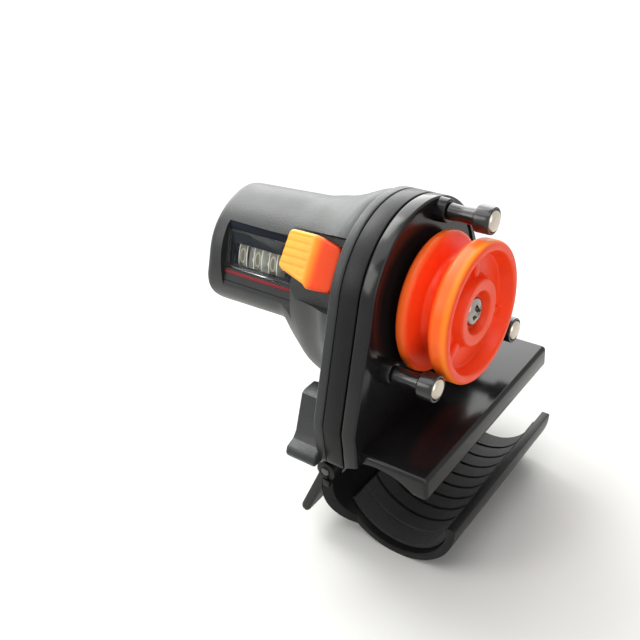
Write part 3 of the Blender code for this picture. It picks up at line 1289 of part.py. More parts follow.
def build_screws(shop):
    """Two long case screws, sunk in the handle cheeks."""
    for name, side, height in SCREW_PLACES:
        profile = (
            (CASE_SCREW_TIP, 0.0),
            (CASE_SCREW_TIP - GAP, CASE_SCREW_RADIUS / 2),
            (CASE_SCREW_TIP - GAP * 4, CASE_SCREW_RADIUS),
            (CASE_SCREW_HEAD_FRONT - TINY, CASE_SCREW_RADIUS),
            (CASE_SCREW_HEAD_FRONT - TINY, CASE_SCREW_HEAD),
            (CASE_SCREW_HEAD_BACK + GAP * 2, CASE_SCREW_HEAD),
            (CASE_SCREW_HEAD_BACK, CASE_SCREW_HEAD - GAP * 3),
            (CASE_SCREW_HEAD_BACK, 0.0),
        )
        screw = lathe(profile, (side, height), STEPS_SMALL)
        length = SCREW_SLOT_LENGTH / 2
        width = SCREW_SLOT_WIDTH / 2
        deep = CASE_SCREW_HEAD_BACK + SCREW_SLOT_DEPTH
        place = (0.0, side, height)
        cross = box((CASE_SCREW_HEAD_BACK - GAP, -length, -width), (deep, length, width), place)
        other = box((CASE_SCREW_HEAD_BACK - GAP, -width, -length), (deep, width, length), place)
        join(shop, cross, other)
        cut(shop, screw, cross)
        shop.part(screw, "case_screw_" + name, STEEL, 1.0, 0.3)


def main():
    """Builds every piece."""
    clear_scene()
    shop = Workshop()
    build_rear_shell(shop)
    build_gear_case(shop)
    build_front_case(shop)
    build_window(shop)
    build_line_wheel(shop)
    build_gears(shop)
    build_counter(shop)
    build_guides(shop)
    build_saddle_pad(shop)
    build_jaw(shop)
    build_clamp_spring(shop)
    build_reset(shop)
    build_screws(shop)


main()
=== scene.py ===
"""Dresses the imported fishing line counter: smooth mouldings, figures, finishes, lights and camera."""
import json
import math

import bmesh
import bpy
from bpy.props import FloatProperty, FloatVectorProperty, IntProperty, PointerProperty
from mathutils import Euler, Matrix, Vector


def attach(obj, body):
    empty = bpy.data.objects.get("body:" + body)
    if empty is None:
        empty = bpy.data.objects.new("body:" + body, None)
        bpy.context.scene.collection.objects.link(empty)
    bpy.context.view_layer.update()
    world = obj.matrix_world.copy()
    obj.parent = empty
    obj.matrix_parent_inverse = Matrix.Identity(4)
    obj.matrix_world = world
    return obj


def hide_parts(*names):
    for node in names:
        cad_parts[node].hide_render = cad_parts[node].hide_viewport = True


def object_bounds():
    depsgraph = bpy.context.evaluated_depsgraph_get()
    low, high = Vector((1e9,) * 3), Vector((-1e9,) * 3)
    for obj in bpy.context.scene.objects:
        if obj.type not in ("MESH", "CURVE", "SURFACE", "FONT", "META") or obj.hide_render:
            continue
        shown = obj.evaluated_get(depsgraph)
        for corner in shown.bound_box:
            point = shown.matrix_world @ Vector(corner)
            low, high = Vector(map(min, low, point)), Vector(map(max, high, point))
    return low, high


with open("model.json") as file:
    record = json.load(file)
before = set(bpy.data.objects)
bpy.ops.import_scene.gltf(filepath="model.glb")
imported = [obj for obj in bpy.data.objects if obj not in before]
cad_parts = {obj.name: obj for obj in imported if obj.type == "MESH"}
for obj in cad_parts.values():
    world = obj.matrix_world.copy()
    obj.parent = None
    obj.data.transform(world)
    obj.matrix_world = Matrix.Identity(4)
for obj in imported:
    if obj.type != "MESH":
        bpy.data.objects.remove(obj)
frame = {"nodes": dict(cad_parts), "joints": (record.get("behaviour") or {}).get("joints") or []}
CAD_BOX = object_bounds()

bl_info = {
    "name": "Fishing Line Counter",
    "version": (1, 0, 0),
    "blender": (4, 5, 0),
    "location": "View3D > Sidebar > Counter",
    "description": "Builds the mouldings, figures and finishes of a clip-on fishing line counter",
    "category": "Object",
}

# Millimetres are used below, measured from the case axis. SHIFT moves them into the row frame.
MM = 0.001
CASE_AXIS = (-3.2, 0.0, 48.0)
SHIFT = Vector(CASE_AXIS) * MM
QUARTER = math.pi / 2
FULL = math.pi * 2
ORIGIN = (0.0, 0.0, 0.0)

# Faces round a small hole, a pin, a tube and so on up to the rod arch
HOLE_STEPS = 24
PIN_STEPS = 32
TUBE_STEPS = 40
BOSS_STEPS = 48
ROLLER_STEPS = 56
POST_STEPS = 64
CAVITY_STEPS = 72
CHAMBER_STEPS = 96
MIDDLE_ARCH_STEPS = 128
ARCH_STEPS = 144

# Angles in degrees under which an edge stays sharp when a piece is rounded
WIDE_ANGLE = 50.0
FLAT_ANGLE = 60.0

# Largest share of a side that the rounding of a corner takes, a radius that counts as none, and
# the distance in metres at which points of a wire are one
SIDE_SHARE = 0.45
ON_AXIS = 0.0001
WELD = 0.0000005


def joint_place(name):
    """Gives the place of a joint of the frame in the measures used below."""
    found = next(joint for joint in frame["joints"] if joint["name"] == name)
    return [round(value / MM - start, 3) for value, start in zip(found["pos_m"], CASE_AXIS)]


# Axes that the frame gives: Y and Z of those along X, X and Z of the jaw's pivot
WHEEL = joint_place("wheel_turn")[1:]
COUNTER = joint_place("units_turn")[1:]
IDLERS = (joint_place("idler_1_turn")[1:], joint_place("idler_2_turn")[1:])
PINION = joint_place("transfer_1_turn")[1:]
COMB = joint_place("comb_swing")[1:]
POSTS = [(name, joint_place("roller_" + name + "_turn")[1:]) for name in ("top", "near", "far")]
PIVOT = joint_place("jaw_open")[::2]
ROD = (-CASE_AXIS[0], -CASE_AXIS[2])

# Case
CASE_RADIUS = 25.5
SIDE_SLOPE = 0.36
SIDE_ANGLE = math.atan(SIDE_SLOPE)
SIDE_LENGTH = math.sqrt(1 + SIDE_SLOPE ** 2)
FOOT_HALF = 35.2
FOOT_BOTTOM = -36.0
FOOT_CORNER = 3.0
ARCH_POINTS = 84
CORNER_POINTS = 8
SEAM_REAR = -11.0
SEAM_FRONT = -5.5
SEAM_GAP = 0.125
SEAM_PASS = 0.5
FACE_X = -1.2
FLANGE_BACK = -14.0
FACE_DISH_DEPTH = 0.5
FACE_DISH_RADIUS = 24.0
FACE_DISH_PASS = 1.0
CHAMBER_RADIUS = 22.6
CHAMBER_BACK = -9.6
CHAMBER_FRONT = -3.4
ARCH_RADIUS = 16.45
SADDLE_BACK = -5.0
SADDLE_FRONT = 17.5
SADDLE_TOP = -29.4
SADDLE_HALF = 32.8
SADDLE_EDGE = 1.2
THROUGH = 38.0

# Sockets of the shafts and posts: radius, back end, front end
POST_BORE = (0.92, -2.85, 2.0)
WHEEL_BORE = (2.72, -6.0, 0.0)
IDLER_REAR_SOCKET = (0.77, -10.65, -9.3)
IDLER_FRONT_SOCKET = (0.77, -3.65, -2.15)
PINION_SOCKET = (0.82, -11.5, -9.75)
COMB_SOCKET = (0.72, -11.5, -9.75)
COUNTER_TUBE = (3.1, -34.5, -9.8)
COUNTER_BORE = (1.65, -35.0, -9.0)

# Case screws: name, then Y and Z
CASE_SCREWS = (("near", (-27.5, -26.2)), ("far", (27.5, -26.2)))
SCREW_HEAD_BORE = (2.6, -23.0, -18.0)
SCREW_REAR_BORE = (1.18, -18.2, -10.0)
SCREW_MIDDLE_BORE = (1.18, -11.5, -5.0)
SCREW_FRONT_BORE = (1.12, -6.0, -2.75)

# Turned profiles: place along the axis, radius, and the rounding of a corner
BOSS_PROFILE = ((-2.4, 0.0), (-2.4, 3.2), (-1.3, 3.2), (1.4, 3.05, 0.35), (1.4, 0.0))
ROLLER_PROFILE = (
    (9.0, 1.0),
    (9.0, 2.2, 0.15),
    (8.7, 2.2, 0.3),
    (5.3, 2.0, 1.0),
    (2.0, 2.2, 0.3),
    (1.7, 2.2, 0.15),
    (1.7, 1.0),
)
COLLAR_PROFILE = (
    (13.6, 2.9),
    (13.6, 3.45, 0.25),
    (12.9, 3.5, 0.3),
    (9.6, 3.5, 0.3),
    (9.3, 3.35, 0.3),
    (9.3, 0.95),
    (12.85, 0.95),
    (12.85, 2.9),
)
POST_PIN_PROFILE = (
    (14.3, 0.0),
    (14.25, 1.7, 0.6),
    (13.95, 2.5, 0.35),
    (13.4, 2.8, 0.2),
    (12.9, 2.8, 0.1),
    (12.9, 0.9),
    (-2.6, 0.9, 0.1),
    (-2.6, 0.0),
)
CASE_SCREW_PROFILE = (
    (-19.6, 0.0),
    (-19.5, 1.2, 0.4),
    (-19.1, 2.05, 0.3),
    (-18.05, 2.15, 0.1),
    (-18.05, 1.1),
    (-4.0, 1.1, 0.1),
    (-3.0, 0.0),
)
WHEEL_SCREW_PROFILE = (
    (13.4, 0.0),
    (13.3, 1.6, 0.6),
    (12.7, 3.3, 0.5),
    (12.2, 3.7, 0.25),
    (11.3, 3.7, 0.15),
    (11.3, 1.0),
    (5.8, 1.0, 0.1),
    (5.8, 0.0),
)

# Screw crosses: bottom, top, half length and half width, and how much smaller the bottom is
CASE_SCREW_CROSS = (-18.7, -19.9, 1.6, 0.38)
WHEEL_SCREW_CROSS = (11.5, 13.8, 2.9, 0.85)
WHEEL_SCREW_TURN = math.radians(20.0)
SLOT_LENGTH_SHARE = 0.35
SLOT_WIDTH_SHARE = 0.6

# Barrel: radius of the tube and of the lobe below it, by place along the axis
BARREL_END = -63.0
FLARE_START = -31.0
FLARE_END = -13.5
FLARE_INSET = 0.8
FLARE_DROP = 3.4
FLARE_POWER = 3.2
SHELL_FRONT = -12.6
LEAST_FALL = 0.2
END_RINGS = 12
FLARE_RINGS = 28
BARREL_RINGS = (
    -57.0, -53.0, -49.0, -45.0, -42.0, -40.0, -38.5, -37.5, -36.5, -35.5, -34.5, -33.5, -32.6, -31.8,
    FLARE_START,
)
LOBE_DROP = 9.0
LOBE_BLEND = 4.5
BARREL_TABLE = (
    (BARREL_END, 17.4),
    (-40.0, 18.55),
    (-36.0, 18.8),
    (-33.0, 19.35),
    (FLARE_START, 19.8),
    (-28.0, 20.35),
    (-25.5, 21.1),
    (-22.7, 22.3),
    (-20.0, 23.9),
    (-17.0, 25.9),
    (FLARE_END, 27.2),
)
LOBE_TABLE = (
    (-39.0, 10.4),
    (-36.0, 15.2),
    (-33.5, 17.0),
    (-31.0, 18.6),
    (-28.5, 20.0),
    (-26.0, 20.9),
    (-23.0, 21.5),
    (-18.5, 22.0),
    (-15.8, 23.3),
    (FLARE_END, 25.6),
    (-11.0, 27.0),
)
UNDERSIDE_FALL = 1.05
UNDERSIDE_FROM = math.radians(50.0)
CORNER_SWELL = 1.0
CORNER_SWELL_AT = 202.0
CORNER_SWELL_WIDTH = 18.0
END_ROUND = 3.7
END_ROUND_ABOVE = 1.6
END_DROP = 4.7
END_DROP_ABOVE = 0.7

# Side of the barrel whose end is rounded most: middle and width of each change, in degrees
BESIDE_FROM = (86.0, 8.0)
BESIDE_TO = (-180.0, 6.0)
CAVITY = (
    (-61.0, 0.0),
    (-61.0, 12.6),
    (-59.0, 14.8),
    (FLARE_START, 15.0),
    (-13.0, 18.0),
    (-13.0, 20.5),
    (-10.7, 20.5),
    (-10.7, 0.0),
)
CAVITY_SPAN = (-70.0, -5.0, -40.0, 40.0, -40.0)
CAVITY_ROOF = 13.75

# Flat of the barrel, tilted about the axis, with the window, the strip and the panel line
FLAT_TILT = math.radians(70.0)
FLAT_HEIGHT = 15.45
FLAT_START = -56.6
FLAT_END = -31.8
FLAT_HALF = 20.0
OUTSIDE = 31.0
INSIDE = 7.0
WINDOW = (-56.4, -33.0, -4.1, 6.8)
WINDOW_RIM = 0.8
POCKET_TOP = 9.0
POCKET_FLOOR = 14.28
PANE_GAP = 0.12
PANE_FLOOR = 14.3
PANE_TOP = 15.3
PANE_EDGE = 0.15
# Near-black sheet of painted shade in the window pocket: gap to the window, then bottom and top
SHADE_GAP = 0.02
SHADE_LEVELS = (14.33, 15.0)
STRIP_LOW = -5.7
STRIP_HIGH = -4.6
STRIP_DEPTH = 0.6
STRIP_LEVELS = (FLAT_HEIGHT - 0.58, FLAT_HEIGHT + 0.1)
STRIP_EDGE = 0.08
FIT = 0.06
PANEL_LOW = -7.9
PANEL_LINE = 0.3
MASK = (-55.5, -33.9, -3.2, 5.9, 13.25, 14.1)
MASK_OPENING = (-54.2, -36.6, -2.9, 3.0, 12.0, 15.0)
MASK_EDGE = 0.1

# Upper handle: one cheek in end view, the lugs below it
HANDLE_BACK = -22.2
HANDLE_LAP = 1.2
CHEEK = (
    (-37.8, -35.2),
    (-38.1, -33.8),
    (-37.4, -32.2),
    (-34.6, -31.4),
    (-33.2, -29.9),
    (-29.0, -20.3),
    (-27.6, -19.7),
    (-23.8, -19.8),
    (-22.6, -20.8),
    (-21.8, -32.2),
)
LUG_STARTS = (-26.5, 20.5)
LUG_WIDTH = 6.0
LUG_RADIUS = 2.9
LUG_TOP = 6.4
LUG_POINTS = 16
LUG_EDGE = 0.35
PIN_HOLE = 1.31

# Drums
DRUM_RADIUS = 10.4
DRUM_RIM_RADIUS = 10.5
DRUM_FACE_RADIUS = 10.43
DRUM_BORE = 9.4
DRUM_WIDTH = 3.0
DRUM_RIM = 0.32
DRUM_STEP = 0.04
DRUM_PITCH = 5.2
DRUM_NAMES = ("units", "tens", "hundreds")
DRUM_FRONT = -40.2
FIGURE_RAISE = 0.07
FIGURE_HALF_THICK = 0.04
FIGURE_NARROW = 0.78
FIGURE_FACTOR = 1.4
FIGURE_VIEW = 162.5
FIGURE_TURN = 36.0
FIGURE_LONG_EDGE = 0.8

# Wheel
WHEEL_FRONT = 14.9
WHEEL_BACK = 0.5
SHAFT_HOLE = 1.62
WHEEL_MORE_STEPS = 16
RIB_ANGLES = (-145.0, -28.0, 80.0)
RIB_LOW = (10.6, -1.0, 9.0)
RIB_HIGH = (12.2, 1.0, 15.6)
RIB_EDGE = 0.45

# Dished front of the wheel from its bore outwards, with the hub ring
WHEEL_DISH = (
    (11.2, SHAFT_HOLE, 0.0),
    (11.2, 5.0, 0.2),
    (13.6, 5.7, 0.4),
    (13.8, 8.6, 0.5),
    (11.0, 9.5, 0.4),
    (11.0, 14.9, 0.5),
    (14.6, 16.0, 0.45),
    (WHEEL_FRONT, 16.5, 0.25),
)

# Knob, in the frame of its own tilt
KNOB_TILT = math.radians(52.0)
PRESS_ANGLE = math.radians(11.0)
KNOB_LOW = ((0.0, -4.6), (0.54, -7.0), (0.59, -7.9), (1.0, -7.4))
KNOB_HIGH = ((0.0, 5.7), (0.54, 5.8), (1.0, 4.3))
KNOB_CREASE = 0.54
KNOB_CREASE_SOFT = 0.05
KNOB_SMOOTH = 0.02
KNOB_POINTS = 60
KNOB_EDGE_POINTS = 5
KNOB_END_SHARE = 0.086
KNOB_END_RINGS = 8
KNOB_RING_START = 0.12
KNOB_RING_STEP = 0.02
KNOB_RINGS = 39
KNOB_LENGTH = 16.4
KNOB_LEFT = -33.2
KNOB_LEFT_SLANT = 0.039
KNOB_RIGHT = -16.7
KNOB_RIGHT_SLANT = 0.045
KNOB_TOP = 22.0
KNOB_FOOT = 18.1
KNOB_SLOPE = 0.31
KNOB_EDGE = 0.8
KNOB_END_ROUND = 1.5
RIB_HEIGHT = 0.14
RIB_PITCH = 2.0
RIB_FADE = 1.6
RIB_SHIFT = 0.35
RIBS_END = (-0.50, 0.01)
RECESS = (-34.6, -14.6, -9.0, 6.6)
RECESS_FLOOR = 17.3
RECESS_TOP = 35.0
PRESSED_FLOOR = 14.8
PRESSED_LOW = -7.7
NECK_SLOT = (-28.6, -21.4, -1.2, 7.2)
LEVER_BACK = -28.0
LEVER_FRONT = -22.0
HUB_RADIUS = 5.2
HUB_BORE = 3.25
HUB_PASS = 1.0
NECK_HALF = 1.9
NECK_FOOT = 4.5
NECK_TOP = 19.0
NOSE_LOW = (-26.2, 4.2, -1.9)
NOSE_HIGH = (-23.8, 8.2, -0.3)
NOSE_ANGLE = math.radians(-95.0)

# Rod clamp
JAW_OUTER = 18.69
JAW_HALF = 33.0
JAW_START = 166.0
JAW_END = 358.0
JAW_POINTS = 72
JAW_EDGE = 0.6
JAW_BORE = 15.5
JAW_PIN_HOLE = 1.4
JAW_CORNER = ((-9.0, 27.2), (-15.6, 33.2), (-15.6, 38.0), (36.0, 38.0), (36.0, 27.2))
JAW_CORNER_SPAN = (-72.0, -46.0)
TAIL_TIP = Vector((-8.5, -17.0))
TAIL_HALF_THICK = 1.4
TAIL_HALF = 32.75
TAIL_EDGE = 0.35
BRIDGE_HALF = 32.5
BRIDGE_REACH = 18.7
BRIDGE_IN = 1.5
BRIDGE_DOWN = 2.1
BRIDGE_FOOT = (-2.83, -5.67)
KNUCKLE_WIDTH = 5.45
KNUCKLE_RADIUS = 2.9
KNUCKLE_EDGE = 0.3
JAW_CLEAR = 4.5
JAW_CLEAR_HALF = 26.8
LINING_INNER = 15.05
LINING_OUTER = 16.15
LINING_SPAN = (205.0, 345.0, 56)
LINING_HALF = 25.4
LINING_GROOVES = 9
GROOVE_PITCH = 5.0
GROOVE_HALF = 0.5
GROOVE_REACH = 15.45
GROOVE_INNER = 10.0
ROD_RADIUS = 15.0
PAD_SPAN = (56.0, 124.0, 36)
PAD_HALF = 29.9
PAD_EDGE = 0.2
PIN_RADIUS = 1.25
PIN_HALF = 32.7
PIN_EDGE = 0.25

# Springs
JAW_WIRE = 0.44
JAW_LEG_WIRE = 0.43
JAW_COIL = 1.9
JAW_COIL_TURNS = 7
JAW_COIL_HALF = 5.0
JAW_SPRING_SEAT = Vector((-7.3, 5.69))
JAW_SPRING_LEG = 9.5
KNOB_WIRE = 0.24
KNOB_COIL = 3.8
KNOB_COIL_TURNS = 4
KNOB_COIL_START = -20.0
KNOB_COIL_LENGTH = 7.5
COIL_STEPS = 36

# Finishes: shares and amounts that make a colour darker, lighter, or worn and lit at the edges (edge wear
# with a painted edge highlight), and the dust
TONE_DOWN = 0.82
TONE_UP = 1.18
TONE_LIFT = 0.002
WORN_AND_LIT_UP = 1.6
WORN_AND_LIT_LIFT = 0.03
DUST_COLOUR = (0.55, 0.54, 0.52)
RING_DEPTH = 0.00001

# Painted highlight on the wheel's rim crowns, a warmer, lighter orange where the light falls: radius and
# place along the axis in metres, amount behind and in front
PAINTED_RIM_HIGHLIGHT_REACH = (0.0176, 0.0187)
PAINTED_RIM_HIGHLIGHT_ALONG = (0.0095, 0.0110)
PAINTED_RIM_HIGHLIGHT_AMOUNT = (0.28, 0.90)
PAINTED_RIM_HIGHLIGHT_COLOUR = (1.0, 0.31, 0.020)

# Places along the axis, in metres, between which the knob turns redder and darker: painted shade on the
# sloped foot, which faces away from the light
KNOB_SHADE_TURN = (-0.0285, -0.0245)
FOOT_SHADE_COLOUR = (0.80, 0.062, 0.008)

# CAD nodes that stay in view, by finish
KEPT_FINISHES = {
    "brass_turned": ("wheel_bush", "input_pinion"),
    "gear_acetal": (
        "idler_gear_1",
        "idler_gear_2",
        "counter_gear",
        "units_drum",
        "tens_drum",
        "hundreds_drum",
    ),
    "turned_steel": (
        "wheel_shaft",
        "idler_post_1",
        "idler_post_2",
        "counter_shaft",
        "pinion_shaft",
        "comb_rod",
    ),
    "pinion_acetal": ("transfer_pinion_1", "transfer_pinion_2", "reset_comb"),
}

# Studio, in metres
FLOOR_HALF = 3.0
FLOOR_FADE = (0.10, 0.30)
FLOOR_COLOUR = (0.66, 0.655, 0.64)
BACKDROP = (0.98, 0.985, 0.97)
WORLD_STRENGTH = (0.25, 1.0)
LAMP_AIM = Vector((-0.024, 0.0, 0.045))

# Lamps: name, place, size, energy, colour
LAMPS = (
    ("window", (-0.56, 0.50, 0.48), (1.15, 0.90), 14.5, (0.985, 1.0, 0.985)),
    ("window_core", (-0.50, 0.14, 0.70), (0.40, 0.30), 3.0, (1.0, 0.995, 0.98)),
    ("left_high", (-0.42, -0.16, 0.62), (0.50, 0.50), 1.9, (0.99, 1.0, 0.99)),
    ("left_key", (-0.36, -0.43, 0.34), (0.26, 0.26), 1.1, (1.0, 0.99, 0.96)),
    ("overhead", (0.06, -0.14, 0.66), (0.40, 0.40), 1.5, (1.0, 1.0, 1.0)),
    ("right_fill", (0.50, -0.30, 0.34), (0.50, 0.50), 1.3, (1.0, 0.99, 0.97)),
)

# Camera: place in millimetres from the case axis, and the ways it calls right, up and back
SENSOR_WIDTH = 36.0
LENS = 50.6
CLIP_START = 0.01
CAMERA_PLACE = Vector((103.489, -166.379, 121.172))
CAMERA_RIGHT = Vector((0.795227, 0.599614, -0.089876))
CAMERA_UP = Vector((-0.267258, 0.479714, 0.835731))
CAMERA_BACK = Vector((0.544231, -0.640576, 0.541733))


def length_setting(name, description, default):
    """Describes a length in metres that a user may change."""
    return FloatProperty(name=name, description=description, default=default, unit="LENGTH")


def colour_setting(name, description, default):
    """Describes a colour that a user may change."""
    return FloatVectorProperty(name=name, description=description, default=default, size=3, subtype="COLOR")


class CounterSizes(bpy.types.PropertyGroup):
    """Sizes that a user would change, in metres."""

    wheel_radius: length_setting("Wheel Radius", "Outer radius of the measuring wheel", 0.0185)
    groove_radius: length_setting("Groove Radius", "Radius of the line groove", 0.01273)
    figure_height: length_setting("Figure Height", "Height of the drum figures", 0.0043)
    edge_round: length_setting("Edge Round", "Rounding of the case edges", 0.0006)
    round_steps: IntProperty(
        name="Round Steps", description="Faces round a full circle", default=144, min=24, max=256
    )


class CounterColours(bpy.types.PropertyGroup):
    """Colours that a user would change."""

    shell: colour_setting("Shell", "Matte moulding of the barrel", (0.014, 0.016, 0.016))
    front: colour_setting("Front", "Glossy front and saddle", (0.007, 0.007, 0.0075))
    wheel: colour_setting("Wheel", "Measuring wheel", (1.0, 0.060, 0.009))
    knob: colour_setting("Knob", "Ribbed face of the reset knob", (1.0, 0.36, 0.018))
    strip: colour_setting("Strip", "Strip under the window", (0.19, 0.020, 0.026))


def sizes():
    """Gives the size settings of the scene."""
    return bpy.context.scene.counter_sizes


def colours():
    """Gives the colour settings of the scene."""
    return bpy.context.scene.counter_colours


def polar(radius, angle, centre=(0.0, 0.0)):
    """Gives the point at a distance and an angle from a centre."""
    return (centre[0] + radius * math.cos(angle), centre[1] + radius * math.sin(angle))


def add_object(name, data):
    """Puts a new object with its data into the scene."""
    item = bpy.data.objects.new(name, data)
    bpy.context.scene.collection.objects.link(item)
    return item


def bare_object(bm, location=ORIGIN, rotation=ORIGIN):
    """Turns a bmesh in millimetres into an object in metres, about the case axis."""
    bmesh.ops.recalc_face_normals(bm, faces=bm.faces)
    mesh = bpy.data.meshes.new("mesh")
    bm.to_mesh(mesh)
    bm.free()
    turn = Matrix.Translation(Vector(location) * MM) @ Euler(rotation).to_matrix().to_4x4()
    mesh.transform(turn @ Matrix.Scale(MM, 4))
    return add_object("item", mesh)


def side_faces(bm, low, high):
    """Joins two rings of as many points with faces."""
    for index in range(len(low)):
        after = (index + 1) % len(low)
        bm.faces.new((low[index], low[after], high[after], high[index]))


def prism(outline, start, end, axis="X", location=ORIGIN, rotation=ORIGIN):
    """Extrudes a flat outline along X, Y or Z."""
    order = {"X": (2, 0, 1), "Y": (0, 2, 1), "Z": (0, 1, 2)}[axis]
    bm = bmesh.new()
    rings = []
    for level in (start, end):
        corners = [(first, second, level) for first, second in outline]
        rings.append([bm.verts.new([corner[index] for index in order]) for corner in corners])
        bm.faces.new(rings[-1])
    side_faces(bm, *rings)
    return bare_object(bm, location, rotation)


def box(low, high, location=ORIGIN, rotation=ORIGIN):
    """Makes a box between two corners."""
    outline = ((low[1], low[2]), (high[1], low[2]), (high[1], high[2]), (low[1], high[2]))
    return prism(outline, low[0], high[0], "X", location, rotation)


def tilted_box(low_x, high_x, low, high, bottom, top, tilt=FLAT_TILT):
    """Makes a box in the tilted frame of the window or the knob."""
    return box((low_x, low, bottom), (high_x, high, top), rotation=(tilt, 0.0, 0.0))


def circle(radius, steps, centre=(0.0, 0.0)):
    """Gives the points of a circle."""
    return [polar(radius, FULL * k / steps, centre) for k in range(steps)]


def rod_x(radius, start, end, centre=(0.0, 0.0), steps=HOLE_STEPS):
    """Makes a round bar along X."""
    return prism(circle(radius, steps, centre), start, end)


def rod_y(radius, start, end, centre, steps):
    """Makes a round bar along Y."""
    return prism(circle(radius, steps, centre), start, end, "Y")


def rounded(points, radius=0.3, steps=3, closed=False):
    """Rounds the corners of a line of points. A point may carry its own radius as a third value."""
    result = []
    count = len(points)
    for index, point in enumerate(points):
        here = Vector(point[:2])
        size = point[2] if len(point) > 2 else radius
        if not closed and index in (0, count - 1) or size <= 0.0:
            result.append(tuple(here))
            continue
        before = Vector(points[index - 1][:2]) - here
        after = Vector(points[(index + 1) % count][:2]) - here
        size = min(size, before.length * SIDE_SHARE, after.length * SIDE_SHARE)
        first = here + before.normalized() * size
        last = here + after.normalized() * size
        for step in range(steps + 1):
            share = step / steps
            low = first.lerp(here, share)
            high = here.lerp(last, share)
            result.append(tuple(low.lerp(high, share)))
    return result


def lathe(profile, centre=(0.0, 0.0), steps=POST_STEPS, closed=False):
    """Turns a profile of (along, radius) pairs about X. Points on the axis close the ends."""
    bm = bmesh.new()
    rings = []
    for along, radius in profile:
        places = [centre] if radius < ON_AXIS else circle(radius, steps, centre)
        rings.append([bm.verts.new((along, *place)) for place in places])
    pairs = list(zip(rings, rings[1:]))
    if closed:
        pairs.append((rings[-1], rings[0]))
    for low, high in pairs:
        for index in range(steps):
            after = (index + 1) % steps
            corners = (
                low[index % len(low)],
                low[after % len(low)],
                high[after % len(high)],
                high[index % len(high)],
            )
            unique = list(dict.fromkeys(corners))
            if len(unique) > 2:
                bm.faces.new(unique)
    return bare_object(bm)


def bevel(item, width, segments=3, limit=35.0):
    """Rounds the sharp edges of a piece."""
    edge = item.modifiers.new("edge", "BEVEL")
    edge.width = width * MM
    edge.segments = segments
    edge.limit_method = "ANGLE"
    edge.angle_limit = math.radians(limit)
    edge.use_clamp_overlap = True
    return item


def settle(item):
    """Turns the modifiers of an object into its own mesh."""
    bpy.context.view_layer.update()
    graph = bpy.context.evaluated_depsgraph_get()
    fresh = bpy.data.meshes.new_from_object(item.evaluated_get(graph))
    old = item.data
    item.modifiers.clear()
    item.data = fresh
    bpy.data.meshes.remove(old)


def combine(item, operation, *tools):
    """Applies exact booleans with the given tools, which are used up."""
    for tool in tools:
        step = item.modifiers.new("step", "BOOLEAN")
        step.operation = operation
        step.solver = "EXACT"
        step.object = tool
    settle(item)
    for tool in tools:
        bpy.data.objects.remove(tool, do_unlink=True)
    return item


def cut(item, *tools):
    """Takes the tools away from a piece."""
    return combine(item, "DIFFERENCE", *tools)


def join(item, *tools):
    """Adds the tools to a piece."""
    return combine(item, "UNION", *tools)


def merge(items):
    """Puts several objects into one mesh."""
    bm = bmesh.new()
    for item in items:
        settle(item)
        bm.from_mesh(item.data)
        bpy.data.objects.remove(item, do_unlink=True)
    mesh = bpy.data.meshes.new("mesh")
    bm.to_mesh(mesh)
    bm.free()
    return add_object("item", mesh)


def mesh_of(curve):
    """Turns a text or a curve into a mesh."""
    holder = add_object("holder", curve)
    bpy.context.view_layer.update()
    graph = bpy.context.evaluated_depsgraph_get()
    mesh = bpy.data.meshes.new_from_object(holder.evaluated_get(graph))
    bpy.data.objects.remove(holder, do_unlink=True)
    return mesh


def finish_piece(item, name, material, body, nodes=(), sharp=32.0):
    """Names a piece, smooths it, gives it its finish and lets it ride on its body."""
    settle(item)
    item.name = name
    item.data.name = name
    item.data.transform(Matrix.Translation(SHIFT))
    item.data.materials.clear()
    item.data.materials.append(bpy.data.materials[material])
    for face in item.data.polygons:
        face.use_smooth = True
    item.data.set_sharp_from_angle(angle=math.radians(sharp))
    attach(item, body)
    if nodes:
        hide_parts(*nodes)


def smooth_lookup(table, place):
    """Reads a table of (place, value) pairs with a smooth curve between them."""
    if place <= table[0][0]:
        return table[0][1]
    for index in range(len(table) - 1):
        if place <= table[index + 1][0]:
            break
    before = table[max(index - 1, 0)]
    low = table[index]
    high = table[index + 1]
    after = table[min(index + 2, len(table) - 1)]
    span = high[0] - low[0]
    share = min(1.0, (place - low[0]) / span)
    slope_low = (high[1] - before[1]) / (high[0] - before[0]) * span
    slope_high = (after[1] - low[1]) / (after[0] - low[0]) * span
    square = share * share
    cube = square * share
    return (
        (2 * cube - 3 * square + 1) * low[1]
        + (cube - 2 * square + share) * slope_low
        + (3 * square - 2 * cube) * high[1]
        + (cube - square) * slope_high
    )


def line_lookup(table, place):
    """Reads a table of (place, value) pairs with straight lines between them."""
    for low, high in zip(table, table[1:]):
        if place <= high[0]:
            break
    share = min(1.0, max(0.0, (place - low[0]) / (high[0] - low[0])))
    return low[1] + (high[1] - low[1]) * share


def smooth_larger(first, second, blend):
    """Gives the larger of two values with a soft change over."""
    near = max(blend - abs(first - second), 0.0) / blend
    return max(first, second) + near * near * blend / 4


def step_up(value, middle, width):
    """Rises softly from nought to one about a middle value."""
    return 1 / (1 + math.exp((middle - value) / width))


def round_off(distance, radius):
    """How far a rounded edge has fallen at a distance from its end."""
    left = max(0.0, radius - distance) / radius
    return radius * (1 - math.sqrt(1 - left * left))


def eased(reach, count):
    """Gives places from nought to a reach, close together at first."""
    return [reach * (1 - math.cos(QUARTER * k / count)) for k in range(count + 1)]


def offset_circle(radius, drop, angle):
    """Distance from the case axis to a circle whose centre lies below it."""
    along = -drop * math.sin(angle)
    inside = radius * radius - drop * drop + along * along
    return along + math.sqrt(max(inside, 0.0))


def flare_limit(angle):
    """Distance from the case axis to a line just inside the arched outline of the case."""
    radius = CASE_RADIUS - FLARE_INSET
    if math.sin(angle) >= math.sin(SIDE_ANGLE):
        return radius
    fall = abs(math.cos(angle)) + SIDE_SLOPE * math.sin(angle)
    return radius * SIDE_LENGTH / max(LEAST_FALL, fall)


